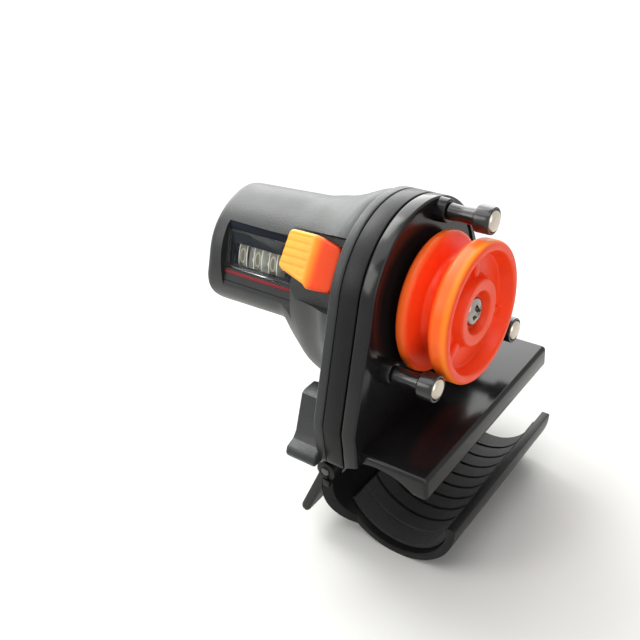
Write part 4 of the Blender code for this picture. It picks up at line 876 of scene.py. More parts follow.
def case_outline():
    """Gives the arched outline of the case layers, seen along the case axis."""
    knee = -(FOOT_HALF - CASE_RADIUS * SIDE_LENGTH) / SIDE_SLOPE
    sweep = math.pi - 2 * SIDE_ANGLE
    points = [polar(CASE_RADIUS, SIDE_ANGLE + sweep * k / ARCH_POINTS) for k in range(ARCH_POINTS + 1)]
    points.append((-FOOT_HALF, knee))
    centre = FOOT_HALF - FOOT_CORNER
    for start, side in ((math.pi, -centre), (math.pi + QUARTER, centre)):
        for index in range(CORNER_POINTS + 1):
            angle = start + QUARTER * index / CORNER_POINTS
            points.append(polar(FOOT_CORNER, angle, (side, FOOT_BOTTOM + FOOT_CORNER)))
    points.append((FOOT_HALF, knee))
    return points


def barrel_shape(place, angle):
    """What the barrel gains or loses round its section: level underside, fuller corner, rounded end."""
    degrees = math.degrees(angle)
    along = min(1.0, (place - BARREL_END) / (FLARE_START - BARREL_END))
    change = -UNDERSIDE_FALL * along * (1 - math.cos(angle - UNDERSIDE_FROM))
    change += CORNER_SWELL * math.exp(-(((degrees - CORNER_SWELL_AT) / CORNER_SWELL_WIDTH) ** 2))
    beside = step_up(degrees, *BESIDE_FROM) * step_up(-degrees, *BESIDE_TO)
    depth = END_ROUND_ABOVE + (END_ROUND - END_ROUND_ABOVE) * beside
    drop = END_DROP_ABOVE + (END_DROP - END_DROP_ABOVE) * beside
    share = min(1.0, max(0.0, (BARREL_END + depth - place) / depth))
    return change - drop * (1 - math.sqrt(1 - share * share))


def barrel_drop(place):
    """How far the flare's centre lies below the case axis."""
    share = min(1.0, max(0.0, (place - FLARE_START) / (FLARE_END - FLARE_START)))
    return FLARE_DROP * share ** FLARE_POWER


def barrel_reach(place, angle):
    """Distance from the case axis to the skin of the barrel, its flare and its lower bulge."""
    radius = smooth_lookup(BARREL_TABLE, place) + barrel_shape(place, angle)
    reach = offset_circle(radius, barrel_drop(place), angle)
    if place > LOBE_TABLE[0][0]:
        lobe = offset_circle(smooth_lookup(LOBE_TABLE, place), LOBE_DROP, angle)
        reach = smooth_larger(reach, lobe, LOBE_BLEND)
    return min(reach, flare_limit(angle))


def barrel_loft():
    """Skins the barrel, its flare and the lower bulge as one smooth loft."""
    places = [BARREL_END + step for step in eased(END_ROUND, END_RINGS)]
    places += BARREL_RINGS
    flare = FLARE_END - FLARE_START
    places += [FLARE_START + flare * k / FLARE_RINGS for k in range(1, FLARE_RINGS + 1)]
    places.append(SHELL_FRONT)
    steps = sizes().round_steps
    angles = [FULL * index / steps for index in range(steps)]
    bm = bmesh.new()
    rings = []
    for place in places:
        ring = [(place, *polar(barrel_reach(place, angle), angle)) for angle in angles]
        rings.append([bm.verts.new(point) for point in ring])
    for low, high in zip(rings, rings[1:]):
        side_faces(bm, low, high)
    bm.faces.new(rings[0])
    bm.faces.new(rings[-1])
    bmesh.ops.triangulate(bm, faces=[face for face in bm.faces if len(face.verts) == 4])
    return bare_object(bm)


def handle_outline():
    """Gives the end view of the upper handle: a plate with a raised cheek at each end."""
    return [*CHEEK, *[(-side, height) for side, height in reversed(CHEEK)]]


def lug_outline():
    """Gives the outline of a pivot lug about the pivot axis."""
    points = [polar(LUG_RADIUS, -math.pi * k / LUG_POINTS) for k in range(LUG_POINTS + 1)]
    return [*points, (-LUG_RADIUS, LUG_TOP), (LUG_RADIUS, LUG_TOP)]


def window_box(inset, bottom, top):
    """Makes a box over the window, smaller than it all round."""
    low_x, high_x, low, high = WINDOW
    return tilted_box(low_x + inset, high_x - inset, low + inset, high - inset, bottom, top)


def knob_room():
    """Gives the tools that make room for the knob at rest, pressed, and for its neck."""
    low_x, high_x, _, high = RECESS
    pressed = (KNOB_TILT + PRESS_ANGLE, 0.0, 0.0)
    return (
        tilted_box(*RECESS, RECESS_FLOOR, RECESS_TOP, KNOB_TILT),
        box((low_x, PRESSED_LOW, PRESSED_FLOOR), (high_x, high, RECESS_TOP), (0.0, *COUNTER), pressed),
    )


def flat_grooves():
    """Gives the tools of the strip's bed and of the panel line round it."""
    line_floor = FLAT_HEIGHT - PANEL_LINE
    line_end = FLAT_END - PANEL_LINE * 2 / 3
    return (
        tilted_box(WINDOW[0], FLAT_END, STRIP_LOW, STRIP_HIGH, FLAT_HEIGHT - STRIP_DEPTH, OUTSIDE),
        tilted_box(FLAT_START, FLAT_END, PANEL_LOW, PANEL_LOW + PANEL_LINE, line_floor, OUTSIDE),
        tilted_box(line_end, line_end + PANEL_LINE, PANEL_LOW, STRIP_HIGH, line_floor, OUTSIDE),
    )


def rear_shell():
    """Barrel, flare, arched flange, upper handle and pivot lugs in one moulding."""
    edge = sizes().edge_round / MM
    shell = barrel_loft()
    flange = bevel(prism(case_outline(), FLANGE_BACK, SEAM_REAR - SEAM_GAP), edge, 4)
    handle = bevel(prism(handle_outline(), HANDLE_BACK, FLANGE_BACK + HANDLE_LAP), edge, 3, WIDE_ANGLE)
    pivot = (PIVOT[0], 0.0, PIVOT[1])
    lugs = [prism(lug_outline(), start, start + LUG_WIDTH, "Y", pivot) for start in LUG_STARTS]
    join(shell, flange, handle, *[bevel(lug, LUG_EDGE, 2, WIDE_ANGLE) for lug in lugs])

    cavity = lathe(CAVITY, steps=CAVITY_STEPS)
    combine(cavity, "INTERSECT", tilted_box(*CAVITY_SPAN, CAVITY_ROOF))
    cut(
        shell,
        cavity,
        tilted_box(FLAT_START, FLAT_END, -FLAT_HALF, FLAT_HALF, FLAT_HEIGHT, OUTSIDE),
        *knob_room(),
        window_box(WINDOW_RIM, INSIDE, OUTSIDE),
        tilted_box(*WINDOW[:3], POCKET_TOP, POCKET_FLOOR, OUTSIDE),
        tilted_box(*NECK_SLOT, INSIDE, OUTSIDE),
        *flat_grooves(),
        rod_y(PIN_HOLE, -THROUGH, THROUGH, PIVOT, PIN_STEPS),
    )
    for _, place in CASE_SCREWS:
        cut(shell, rod_x(*SCREW_HEAD_BORE, place, TUBE_STEPS), rod_x(*SCREW_REAR_BORE, place))
    finish_piece(shell, "barrel_shell", "shell_plastic", "housing", ["rear_shell"], 28.0)


def middle_layer():
    """Middle layer of the case with the gear chamber and the counter tube."""
    edge = sizes().edge_round / MM
    layer = bevel(prism(case_outline(), SEAM_REAR + SEAM_GAP, SEAM_FRONT - SEAM_GAP), edge / 2, 3)
    cut(layer, rod_x(CHAMBER_RADIUS, CHAMBER_BACK, SEAM_FRONT + SEAM_PASS, steps=CHAMBER_STEPS))
    join(layer, rod_x(*COUNTER_TUBE, COUNTER, TUBE_STEPS))
    cut(
        layer,
        rod_x(*COUNTER_BORE, COUNTER, PIN_STEPS),
        *[rod_x(*IDLER_REAR_SOCKET, place) for place in IDLERS],
        rod_x(*PINION_SOCKET, PINION),
        rod_x(*COMB_SOCKET, COMB),
        rod_y(ARCH_RADIUS, -THROUGH, THROUGH, ROD, MIDDLE_ARCH_STEPS),
    )
    for _, place in CASE_SCREWS:
        cut(layer, rod_x(*SCREW_MIDDLE_BORE, place))
    finish_piece(layer, "middle_layer", "case_plastic", "housing", ["gear_case"], 30.0)


def front_layer():
    """Front layer with the dished face, three bosses and the rod saddle."""
    edge = sizes().edge_round / MM
    layer = bevel(prism(case_outline(), SEAM_FRONT + SEAM_GAP, FACE_X), edge, 4)
    dish_floor = FACE_X - FACE_DISH_DEPTH
    cut(layer, rod_x(FACE_DISH_RADIUS, dish_floor, FACE_X + FACE_DISH_PASS, steps=ARCH_STEPS))
    outline = (
        (SADDLE_BACK, FOOT_BOTTOM),
        (SADDLE_FRONT, FOOT_BOTTOM),
        (SADDLE_FRONT, SADDLE_TOP),
        (SADDLE_BACK, SADDLE_TOP),
    )
    join(layer, bevel(prism(outline, -SADDLE_HALF, SADDLE_HALF, "Y"), SADDLE_EDGE, 5))
    cut(
        layer,
        rod_x(CHAMBER_RADIUS, SEAM_FRONT - SEAM_PASS, CHAMBER_FRONT, steps=CHAMBER_STEPS),
        rod_y(ARCH_RADIUS, -THROUGH, THROUGH, ROD, ARCH_STEPS),
    )
    for _, place in POSTS:
        join(layer, lathe(rounded(BOSS_PROFILE, 0.3, 4), place, BOSS_STEPS))
        cut(layer, rod_x(*POST_BORE, place))
    sockets = [rod_x(*IDLER_FRONT_SOCKET, place) for place in IDLERS]
    cut(layer, rod_x(*WHEEL_BORE, WHEEL, BOSS_STEPS), *sockets)
    for _, place in CASE_SCREWS:
        cut(layer, rod_x(*SCREW_FRONT_BORE, place))
    finish_piece(layer, "front_layer", "front_plastic", "housing", ["front_case"], 30.0)


def window_parts():
    """Clear pane, the red strip, the dark mask round the drums, and a black sheet of painted shade in the
    pocket above the window.
    """
    pane = bevel(window_box(PANE_GAP, PANE_FLOOR, PANE_TOP), PANE_EDGE, 2)
    finish_piece(pane, "window_lens", "window_clear", "housing", ["window_pane"])
    low_x, high_x, _, high = WINDOW
    # Painted shade: a near-black sheet covers the pocket above the window, where its inner wall lies in
    # shade
    shade = tilted_box(low_x + FIT, high_x - FIT, high + SHADE_GAP, POCKET_TOP - FIT, *SHADE_LEVELS)
    finish_piece(bevel(shade, MASK_EDGE, 2), "window_shade", "mask_black", "housing")
    strip = tilted_box(low_x + FIT, FLAT_END - FIT, STRIP_LOW + FIT, STRIP_HIGH - FIT, *STRIP_LEVELS)
    bevel(strip, STRIP_EDGE, 2)
    finish_piece(strip, "red_rule", "rule_red", "housing", ["red_strip"])
    mask = cut(tilted_box(*MASK), tilted_box(*MASK_OPENING))
    finish_piece(bevel(mask, MASK_EDGE, 2), "drum_mask", "mask_black", "housing")


def measuring_wheel():
    """Grooved wheel with a dished front, a hub ring and three short ribs."""
    radius = sizes().wheel_radius / MM
    groove = sizes().groove_radius / MM
    profile = (
        (WHEEL_FRONT, radius - 0.6, 0.5),
        (14.0, radius, 1.0),
        (10.6, radius, 0.9),
        (9.5, radius - 0.8, 0.8),
        (7.3, groove + 0.35, 0.8),
        (6.4, groove, 0.5),
        (5.6, groove, 0.5),
        (4.7, groove + 0.35, 0.8),
        (3.7, radius - 0.8, 0.8),
        (2.8, radius, 0.9),
        (1.2, radius, 0.8),
        (WHEEL_BACK, radius - 0.7, 0.3),
        (WHEEL_BACK, SHAFT_HOLE, 0.0),
        *WHEEL_DISH,
    )
    wheel = lathe(rounded(profile, 0.3, 4, True), WHEEL, sizes().round_steps + WHEEL_MORE_STEPS, True)
    ribs = []
    for degrees in RIB_ANGLES:
        rib = box(RIB_LOW, RIB_HIGH, (0.0, *WHEEL), (math.radians(degrees) - QUARTER, 0.0, 0.0))
        ribs.append(bevel(rib, RIB_EDGE, 3))
    join(wheel, *ribs)
    nodes = ["line_wheel"]
    finish_piece(wheel, "measuring_wheel", "wheel_plastic", "line_wheel", nodes, 38.0)


def cross_slot(place, deep, top, half_long, half_wide, turn=0.0):
    """Makes the cross that is cut in a screw head, narrowing towards its bottom."""
    levels = (
        (deep, half_long * SLOT_LENGTH_SHARE, half_wide * SLOT_WIDTH_SHARE),
        (top, half_long, half_wide),
    )
    arms = []
    for angle in (turn, turn + QUARTER):
        bm = bmesh.new()
        rings = []
        for level, side, end in levels:
            corners = ((-side, -end), (side, -end), (side, end), (-side, end))
            rings.append([bm.verts.new((level, *corner)) for corner in corners])
            bm.faces.new(rings[-1])
        side_faces(bm, *rings)
        arms.append(bare_object(bm, (0.0, *place), (angle, 0.0, 0.0)))
    return join(*arms)


def wheel_fixings():
    """Cross-head screw and shaft in the middle of the wheel."""
    head = lathe(rounded(WHEEL_SCREW_PROFILE, 0.1, 4), WHEEL)
    cut(head, cross_slot(WHEEL, *WHEEL_SCREW_CROSS, WHEEL_SCREW_TURN))
    finish_piece(head, "wheel_screw_head", "screw_chrome", "line_wheel", ["wheel_screw"])


def guide_posts():
    """Three posts: a turning roller, an end collar and a domed steel pin."""
    for name, place in POSTS:
        roller = lathe(rounded(ROLLER_PROFILE, 0.1, 3, True), place, ROLLER_STEPS, True)
        nodes = ["guide_roller_" + name]
        finish_piece(roller, "post_roller_" + name, "post_plastic", "roller_" + name, nodes)
        collar = lathe(rounded(COLLAR_PROFILE, 0.1, 4, True), place, closed=True)
        nodes = ["guide_collar_" + name]
        finish_piece(collar, "post_collar_" + name, "post_plastic", "housing", nodes)
        pin = lathe(rounded(POST_PIN_PROFILE, 0.1, 4), place)
        nodes = ["guide_pin_" + name]
        finish_piece(pin, "post_pin_" + name, "polished_steel", "housing", nodes)


def figure(text, drum_front, degrees):
    """Makes one drum figure as a thin raised form wrapped round the drum."""
    curve = bpy.data.curves.new("figure", "FONT")
    curve.body = text
    curve.size = sizes().figure_height / MM * FIGURE_FACTOR
    curve.align_x = "CENTER"
    curve.align_y = "CENTER"
    curve.extrude = FIGURE_HALF_THICK
    curve.resolution_u = 3
    bm = bmesh.new()
    bm.from_mesh(mesh_of(curve))
    long_edges = [edge for edge in bm.edges if edge.calc_length() > FIGURE_LONG_EDGE]
    bmesh.ops.subdivide_edges(bm, edges=long_edges, cuts=2)
    middle = drum_front - DRUM_WIDTH / 2
    base = math.radians(FIGURE_VIEW) + math.radians(degrees)
    for vert in bm.verts:
        along, up, out = vert.co
        place = polar(DRUM_RADIUS + FIGURE_RAISE + out, base - up / DRUM_RADIUS, COUNTER)
        vert.co = (middle + along * FIGURE_NARROW, *place)
    return bare_object(bm)


def figure_drums():
    """Smooth drum bands with pale rims and the figures from nought to nine."""
    for index, name in enumerate(DRUM_NAMES):
        front = DRUM_FRONT - DRUM_PITCH * index
        back = front - DRUM_WIDTH
        half = (
            (front, DRUM_BORE),
            (front, DRUM_RIM_RADIUS, 0.12),
            (front - DRUM_RIM, DRUM_RIM_RADIUS, 0.05),
            (front - DRUM_RIM - DRUM_STEP, DRUM_FACE_RADIUS, 0.04),
        )
        profile = [*half, *[(front + back - along, *rest) for along, *rest in reversed(half)]]
        band = lathe(rounded(profile, 0.05, 2, True), COUNTER, sizes().round_steps, True)
        finish_piece(band, name + "_band", "drum_plastic", name + "_counter")
        digits = merge([figure(str(k), front, FIGURE_TURN * k) for k in range(10)])
        finish_piece(digits, name + "_figures", "figure_ink", name + "_counter")


def knob_section(share):
    """Gives the closed section of the knob at a share of its length, ribs on the flat half."""
    near_end = min(share, 1 - share) * KNOB_LENGTH
    low, high = (
        sum(line_lookup(table, share + shift) for shift in (-KNOB_SMOOTH, 0.0, KNOB_SMOOTH)) / 3
        for table in (KNOB_LOW, KNOB_HIGH)
    )
    inset = round_off(near_end, KNOB_END_ROUND)
    fall = round_off(near_end, KNOB_EDGE)
    slope = KNOB_SLOPE * KNOB_LENGTH * (share - KNOB_CREASE)
    top = KNOB_TOP - fall - (slope + math.sqrt(slope * slope + KNOB_CREASE_SOFT)) / 2
    low += inset
    high -= inset
    ribbed = step_up(-share, *RIBS_END) * RIB_HEIGHT
    turns = [QUARTER * k / KNOB_EDGE_POINTS for k in range(KNOB_EDGE_POINTS + 1)]
    edge = [(KNOB_EDGE * (1 - math.cos(turn)), top - KNOB_EDGE * (1 - math.sin(turn))) for turn in turns]
    points = [(low, KNOB_FOOT)]
    points += [(low + side, height) for side, height in edge]
    for k in range(1, KNOB_POINTS):
        side = low + KNOB_EDGE + (high - low - 2 * KNOB_EDGE) * k / KNOB_POINTS
        wave = 0.5 + 0.5 * math.cos(FULL * (side + RIB_SHIFT) / RIB_PITCH)
        inner = min(1.0, min(side - low, high - side) / RIB_FADE)
        points.append((side, top - ribbed * inner * (1 - wave) ** 2))
    points += [(high - side, height) for side, height in reversed(edge)]
    points.append((high, KNOB_FOOT))
    return points


def knob_body():
    """Lofts the knob from its slanted left end to its slanted foot."""
    ends = eased(KNOB_END_SHARE, KNOB_END_RINGS)
    middle = [KNOB_RING_START + KNOB_RING_STEP * k for k in range(KNOB_RINGS)]
    bm = bmesh.new()
    rings = []
    for share in [*ends, *middle, *[1 - share for share in reversed(ends)]]:
        ring = []
        for side, height in knob_section(share):
            left = KNOB_LEFT + KNOB_LEFT_SLANT * (side - KNOB_LOW[0][1])
            right = KNOB_RIGHT - KNOB_RIGHT_SLANT * (side - KNOB_LOW[-1][1])
            ring.append(bm.verts.new((left + (right - left) * share, side, height)))
        rings.append(ring)
    for low, high in zip(rings, rings[1:]):
        side_faces(bm, low, high)
    bm.faces.new(rings[0])
    bm.faces.new(rings[-1])
    return bare_object(bm, rotation=(KNOB_TILT, 0.0, 0.0))


def reset_knob():
    """Ribbed reset knob with its sloped foot, neck, hub and nose."""
    lever = knob_body()
    neck = tilted_box(LEVER_BACK, LEVER_FRONT, -NECK_HALF, NECK_HALF, NECK_FOOT, NECK_TOP, KNOB_TILT)
    hub = rod_x(HUB_RADIUS, LEVER_BACK, LEVER_FRONT, COUNTER, POST_STEPS)
    nose = box(NOSE_LOW, NOSE_HIGH, (0.0, *COUNTER), (NOSE_ANGLE, 0.0, 0.0))
    join(lever, neck, hub, nose)
    cut(lever, rod_x(HUB_BORE, LEVER_BACK - HUB_PASS, LEVER_FRONT + HUB_PASS, COUNTER, BOSS_STEPS))
    finish_piece(lever, "reset_knob", "knob_plastic", "lever", ["reset_lever"], 30.0)


def arc_band(inner, outer, start, end, points):
    """Gives the outline of a curved band about the rod axis, from one angle to another."""
    turns = [math.radians(start + (end - start) * index / points) for index in range(points + 1)]
    return [
        *[polar(outer, turn, ROD) for turn in turns],
        *[polar(inner, turn, ROD) for turn in reversed(turns)],
    ]


def jaw_tail():
    """Straight tail of the jaw, which leaves the pivot towards its tip."""
    across = Vector((-TAIL_TIP.y, TAIL_TIP.x)).normalized() * TAIL_HALF_THICK
    along = TAIL_TIP.normalized() * TAIL_HALF_THICK
    points = (
        across,
        TAIL_TIP + across,
        TAIL_TIP + along + across / 2,
        TAIL_TIP + along - across / 2,
        TAIL_TIP - across,
        -across,
    )
    outline = rounded([(PIVOT[0] + point.x, PIVOT[1] + point.y) for point in points], 0.5, 3, True)
    return bevel(prism(outline, -TAIL_HALF, TAIL_HALF, "Y"), TAIL_EDGE, 2, FLAT_ANGLE)


def jaw_bridge():
    """Web between the jaw's curved band and its pivot."""
    side, height = polar(BRIDGE_REACH, math.radians(JAW_START), ROD)
    outline = (
        PIVOT,
        (side + BRIDGE_IN, height),
        (side, height - BRIDGE_DOWN),
        (PIVOT[0] + BRIDGE_FOOT[0], PIVOT[1] + BRIDGE_FOOT[1]),
    )
    return prism(outline, -BRIDGE_HALF, BRIDGE_HALF, "Y")


def clamp_jaw():
    """Curved lower jaw with its clipped corners, tail, bridge and knuckles."""
    band = arc_band(ARCH_RADIUS, JAW_OUTER, JAW_START, JAW_END, JAW_POINTS)
    jaw = prism(band, -JAW_HALF, JAW_HALF, "Y")
    corners = [[(along, side * across) for along, across in JAW_CORNER] for side in (-1, 1)]
    cut(jaw, *[prism(corner, *JAW_CORNER_SPAN, "Z") for corner in corners])
    bevel(jaw, JAW_EDGE, 3, WIDE_ANGLE)
    join(jaw, jaw_tail(), jaw_bridge())
    cut(jaw, rod_y(JAW_CLEAR, -JAW_CLEAR_HALF, JAW_CLEAR_HALF, PIVOT, ROLLER_STEPS))
    knuckles = [
        rod_y(KNUCKLE_RADIUS, start, start + KNUCKLE_WIDTH, PIVOT, TUBE_STEPS)
        for start in (-JAW_CLEAR_HALF - KNUCKLE_WIDTH, JAW_CLEAR_HALF)
    ]
    join(jaw, *[bevel(knuckle, KNUCKLE_EDGE, 2, FLAT_ANGLE) for knuckle in knuckles])
    cut(
        jaw,
        rod_y(JAW_PIN_HOLE, -THROUGH, THROUGH, PIVOT, PIN_STEPS),
        rod_y(JAW_BORE, -THROUGH, THROUGH, ROD, ARCH_STEPS),
    )
    finish_piece(jaw, "jaw_moulding", "case_plastic", "jaw", ["clamp_jaw"], 30.0)


def lining_groove(place):
    """Ring with a pointed edge that cuts one groove into the jaw's lining."""
    low = place - GROOVE_HALF
    high = place + GROOVE_HALF
    profile = (
        (low, ROD_RADIUS),
        (place, GROOVE_REACH),
        (high, ROD_RADIUS),
        (high, GROOVE_INNER),
        (low, GROOVE_INNER),
    )
    groove = lathe(profile, steps=CHAMBER_STEPS, closed=True)
    about_rod = Matrix.Translation(Vector((ROD[0], 0.0, ROD[1])) * MM)
    groove.data.transform(about_rod @ Matrix.Rotation(QUARTER, 4, "Z"))
    return groove


def clamp_linings():
    """Both rubber linings and the pivot pin."""
    lining = prism(arc_band(LINING_INNER, LINING_OUTER, *LINING_SPAN), -LINING_HALF, LINING_HALF, "Y")
    first = -GROOVE_PITCH * (LINING_GROOVES - 1) / 2
    cut(lining, *[lining_groove(first + GROOVE_PITCH * index) for index in range(LINING_GROOVES)])
    finish_piece(lining, "jaw_lining", "pad_rubber", "jaw", ["jaw_pad"])
    pad = prism(arc_band(LINING_INNER, LINING_OUTER, *PAD_SPAN), -PAD_HALF, PAD_HALF, "Y")
    bevel(pad, PAD_EDGE, 2, FLAT_ANGLE)
    finish_piece(pad, "saddle_lining", "pad_rubber", "housing", ["saddle_pad"])
    pin = bevel(rod_y(PIN_RADIUS, -PIN_HALF, PIN_HALF, PIVOT, TUBE_STEPS), PIN_EDGE, 3, FLAT_ANGLE)
    finish_piece(pin, "jaw_pin", "dark_steel", "housing", ["pivot_pin"])


def wire(points, radius, name, nodes, body="housing"):
    """Makes a bent spring wire."""
    curve = bpy.data.curves.new("wire", "CURVE")
    curve.dimensions = "3D"
    curve.bevel_depth = radius * MM
    curve.bevel_resolution = 3
    curve.use_fill_caps = True
    line = curve.splines.new("POLY")
    line.points.add(len(points) - 1)
    for slot, point in zip(line.points, points):
        slot.co = (point[0] * MM, point[1] * MM, point[2] * MM, 1.0)
    mesh = mesh_of(curve)
    bm = bmesh.new()
    bm.from_mesh(mesh)
    bmesh.ops.remove_doubles(bm, verts=bm.verts, dist=WELD)
    bmesh.ops.recalc_face_normals(bm, faces=bm.faces)
    bm.to_mesh(mesh)
    bm.free()
    finish_piece(add_object(name, mesh), name, "spring_steel", body, nodes, 50.0)


def springs():
    """Torsion spring of the jaw and return spring of the knob."""
    seat = JAW_SPRING_SEAT
    start = math.atan2(seat.y, seat.x) + math.acos(JAW_COIL / seat.length)
    finish = math.atan2(TAIL_TIP.y, TAIL_TIP.x) + FULL - QUARTER
    sweep = FULL * JAW_COIL_TURNS + finish - start
    steps = JAW_COIL_TURNS * COIL_STEPS
    points = [(PIVOT[0] + seat.x, -JAW_COIL_HALF, PIVOT[1] + seat.y)]
    for index in range(steps + 1):
        share = index / steps
        along, height = polar(JAW_COIL, start + sweep * share, PIVOT)
        points.append((along, JAW_COIL_HALF * (2 * share - 1), height))
    along, side, height = points[-1]
    tip = (along - math.sin(finish) * JAW_SPRING_LEG, side, height + math.cos(finish) * JAW_SPRING_LEG)
    wire(points, JAW_WIRE, "jaw_spring_wire", ["clamp_spring"])
    # The long leg presses on the tail, so it swings with the jaw
    wire([*points[-3:], tip], JAW_LEG_WIRE, "jaw_spring_leg", [], "jaw")
    steps = KNOB_COIL_TURNS * COIL_STEPS
    points = []
    for index in range(steps + 1):
        share = index / steps
        place = polar(KNOB_COIL, -FULL * KNOB_COIL_TURNS * share, COUNTER)
        points.append((KNOB_COIL_START + KNOB_COIL_LENGTH * share, *place))
    wire(points, KNOB_WIRE, "knob_spring_wire", ["reset_spring"])


def case_screws():
    """Two long case screws with cross heads."""
    for name, place in CASE_SCREWS:
        screw = lathe(rounded(CASE_SCREW_PROFILE, 0.1, 3), place, BOSS_STEPS)
        cut(screw, cross_slot(place, *CASE_SCREW_CROSS))
        nodes = ["case_screw_" + name]
        finish_piece(screw, "case_screw_head_" + name, "turned_steel", "housing", nodes)


def kept_nodes():
    """Gives the CAD nodes that stay in view their own finishes."""
    for material, names in KEPT_FINISHES.items():
        for name in names:
            node = frame["nodes"][name]
            node.data.materials.clear()
            node.data.materials.append(bpy.data.materials[material])


def new_group(name, inputs, outputs):
    """Starts a shader node group and gives its inner ends: named numbers in, named numbers out."""
    group = bpy.data.node_groups.new(name, "ShaderNodeTree")
    for label, value in inputs.items():
        socket = group.interface.new_socket(name=label, in_out="INPUT", socket_type="NodeSocketFloat")
        socket.default_value = value
    for label in outputs:
        group.interface.new_socket(name=label, in_out="OUTPUT", socket_type="NodeSocketFloat")
    return group, group.nodes.new("NodeGroupInput").outputs, group.nodes.new("NodeGroupOutput").inputs


def add_node(tree, kind, links=None, **settings):
    """Adds one node, sets its properties and links or fills its inputs."""
    node = tree.nodes.new(kind)
    for key, value in settings.items():
        setattr(node, key, value)
    for socket, source in (links or {}).items():
        if hasattr(source, "is_output"):
            tree.links.new(source, node.inputs[socket])
        else:
            node.inputs[socket].default_value = source
    return node


def place_on(tree):
    """Gives the place on the piece."""
    return tree.nodes.new("ShaderNodeTexCoord").outputs["Object"]


def calculate(tree, operation, *values, clamp=False):
    """Gives the result of a sum over numbers or sockets."""
    links = dict(enumerate(values))
    return add_node(tree, "ShaderNodeMath", links, operation=operation, use_clamp=clamp).outputs[0]


def calculate_vector(tree, operation, *values):
    """Gives the outputs of a sum over vectors."""
    return add_node(tree, "ShaderNodeVectorMath", dict(enumerate(values)), operation=operation).outputs


def remap(tree, value, low, high, to=(0.0, 1.0), kind="LINEAR"):
    """Gives a value carried from one range to another."""
    links = {"Value": value, "From Min": low, "From Max": high, "To Min": to[0], "To Max": to[1]}
    return add_node(tree, "ShaderNodeMapRange", links, interpolation_type=kind).outputs[0]


def noise(tree, place, scale, detail, **more):
    """Gives the values of a noise pattern."""
    links = {"Vector": place, "Scale": scale, "Detail": detail, **more}
    return add_node(tree, "ShaderNodeTexNoise", links).outputs["Fac"]


def stretched(tree, place, share):
    """Gives places drawn out across the X axis, so that a pattern runs round it in streaks."""
    links = {"Vector": place, "Scale": (1.0, share, share)}
    return add_node(tree, "ShaderNodeMapping", links).outputs[0]


def separate(tree, vector):
    """Gives the X, Y and Z of a vector."""
    return add_node(tree, "ShaderNodeSeparateXYZ", {"Vector": vector}).outputs


def grain_group():
    """Moulded plastic grain: fine noise over a slow unevenness."""
    group, given, result = new_group(
        "Moulded Grain",
        {"Grain Scale": 4200.0, "Roughness": 0.45, "Spread": 0.12, "Waviness": 0.25},
        ("Height", "Roughness", "Tone"),
    )
    place = place_on(group)
    fine = noise(group, place, given["Grain Scale"], 3.0, Roughness=0.62)
    slow = noise(group, place, 160.0, 3.0)
    wave = calculate(group, "MULTIPLY", slow, given["Waviness"])
    centred = calculate(group, "ADD", calculate(group, "ADD", fine, slow), -1.0)
    spread = calculate(group, "MULTIPLY_ADD", centred, given["Spread"], given["Roughness"])
    group.links.new(calculate(group, "ADD", fine, wave), result["Height"])
    group.links.new(spread, result["Roughness"])
    group.links.new(slow, result["Tone"])


def wear_group():
    """Edge wear with a painted edge highlight: pointed places, broken up by noise, lightened so that bevels
    read as lit.
    """
    group, given, result = new_group("Edge Wear and Painted Edge Highlight", {"Amount": 0.5, "Scale": 900.0}, ("Mask",))
    shape = group.nodes.new("ShaderNodeNewGeometry").outputs
    # Painted edge highlight: the narrow pointiness band picks out bevels so that they read as crisp lit
    # lines, besides real wear
    edge = remap(group, shape["Pointiness"], low=0.52, high=0.60)
    broken = remap(group, noise(group, place_on(group), given["Scale"], 4.0), low=0.38, high=0.62)
    both = calculate(group, "MULTIPLY", edge, broken)
    group.links.new(calculate(group, "MULTIPLY", both, given["Amount"], clamp=True), result["Mask"])


def dust_group():
    """Light dust that settles on faces that look up."""
    group, given, result = new_group("Settled Dust", {"Amount": 0.2, "Scale": 2400.0}, ("Mask",))
    shape = group.nodes.new("ShaderNodeNewGeometry").outputs
    specks = remap(group, noise(group, place_on(group), given["Scale"], 2.0), low=0.66, high=0.76)
    upward = remap(group, separate(group, shape["Normal"])["Z"], low=0.1, high=1.0)
    both = calculate(group, "MULTIPLY", specks, upward)
    group.links.new(calculate(group, "MULTIPLY", both, given["Amount"]), result["Mask"])


def turning_group():
    """Fine turning rings about an axis along X."""
    group, given, result = new_group(
        "Turning Rings",
        {"Rings": 9000.0, "Roughness": 0.25, "Spread": 0.1},
        ("Height", "Roughness"),
    )
    place = place_on(group)
    rings = noise(group, stretched(group, place, 0.08), given["Rings"], 2.0)
    centred = calculate(group, "ADD", noise(group, place, 700.0, 3.0), -0.5)
    spread = calculate(group, "MULTIPLY_ADD", centred, given["Spread"], given["Roughness"])
    group.links.new(rings, result["Height"])
    group.links.new(spread, result["Roughness"])


def new_material(name):
    """Starts a material and gives its tree and shader."""
    if name in bpy.data.materials:
        raise ValueError("The frame already has a material named " + name)
    material = bpy.data.materials.new(name)
    material.use_nodes = True
    return material.node_tree, material.node_tree.nodes["Principled BSDF"]


def use_group(tree, name, **values):
    """Places a shared effect in a material with its own values and gives its outputs."""
    node = tree.nodes.new("ShaderNodeGroup")
    node.node_tree = bpy.data.node_groups[name]
    for key, value in values.items():
        node.inputs[key.replace("_", " ").title()].default_value = value
    return node.outputs


def fill(shader, **values):
    """Sets inputs of a shader that are the same all over."""
    for key, value in values.items():
        shader.inputs[key.replace("_", " ")].default_value = value


def mix_colour(tree, factor, first, second):
    """Mixes two colours by a mask."""
    node = add_node(tree, "ShaderNodeMix", data_type="RGBA")
    tree.links.new(factor, node.inputs["Factor"])
    for socket, value in ((node.inputs[6], first), (node.inputs[7], second)):
        if hasattr(value, "is_output"):
            tree.links.new(value, socket)
        else:
            socket.default_value = (*value[:3], 1.0)
    return node.outputs[2]


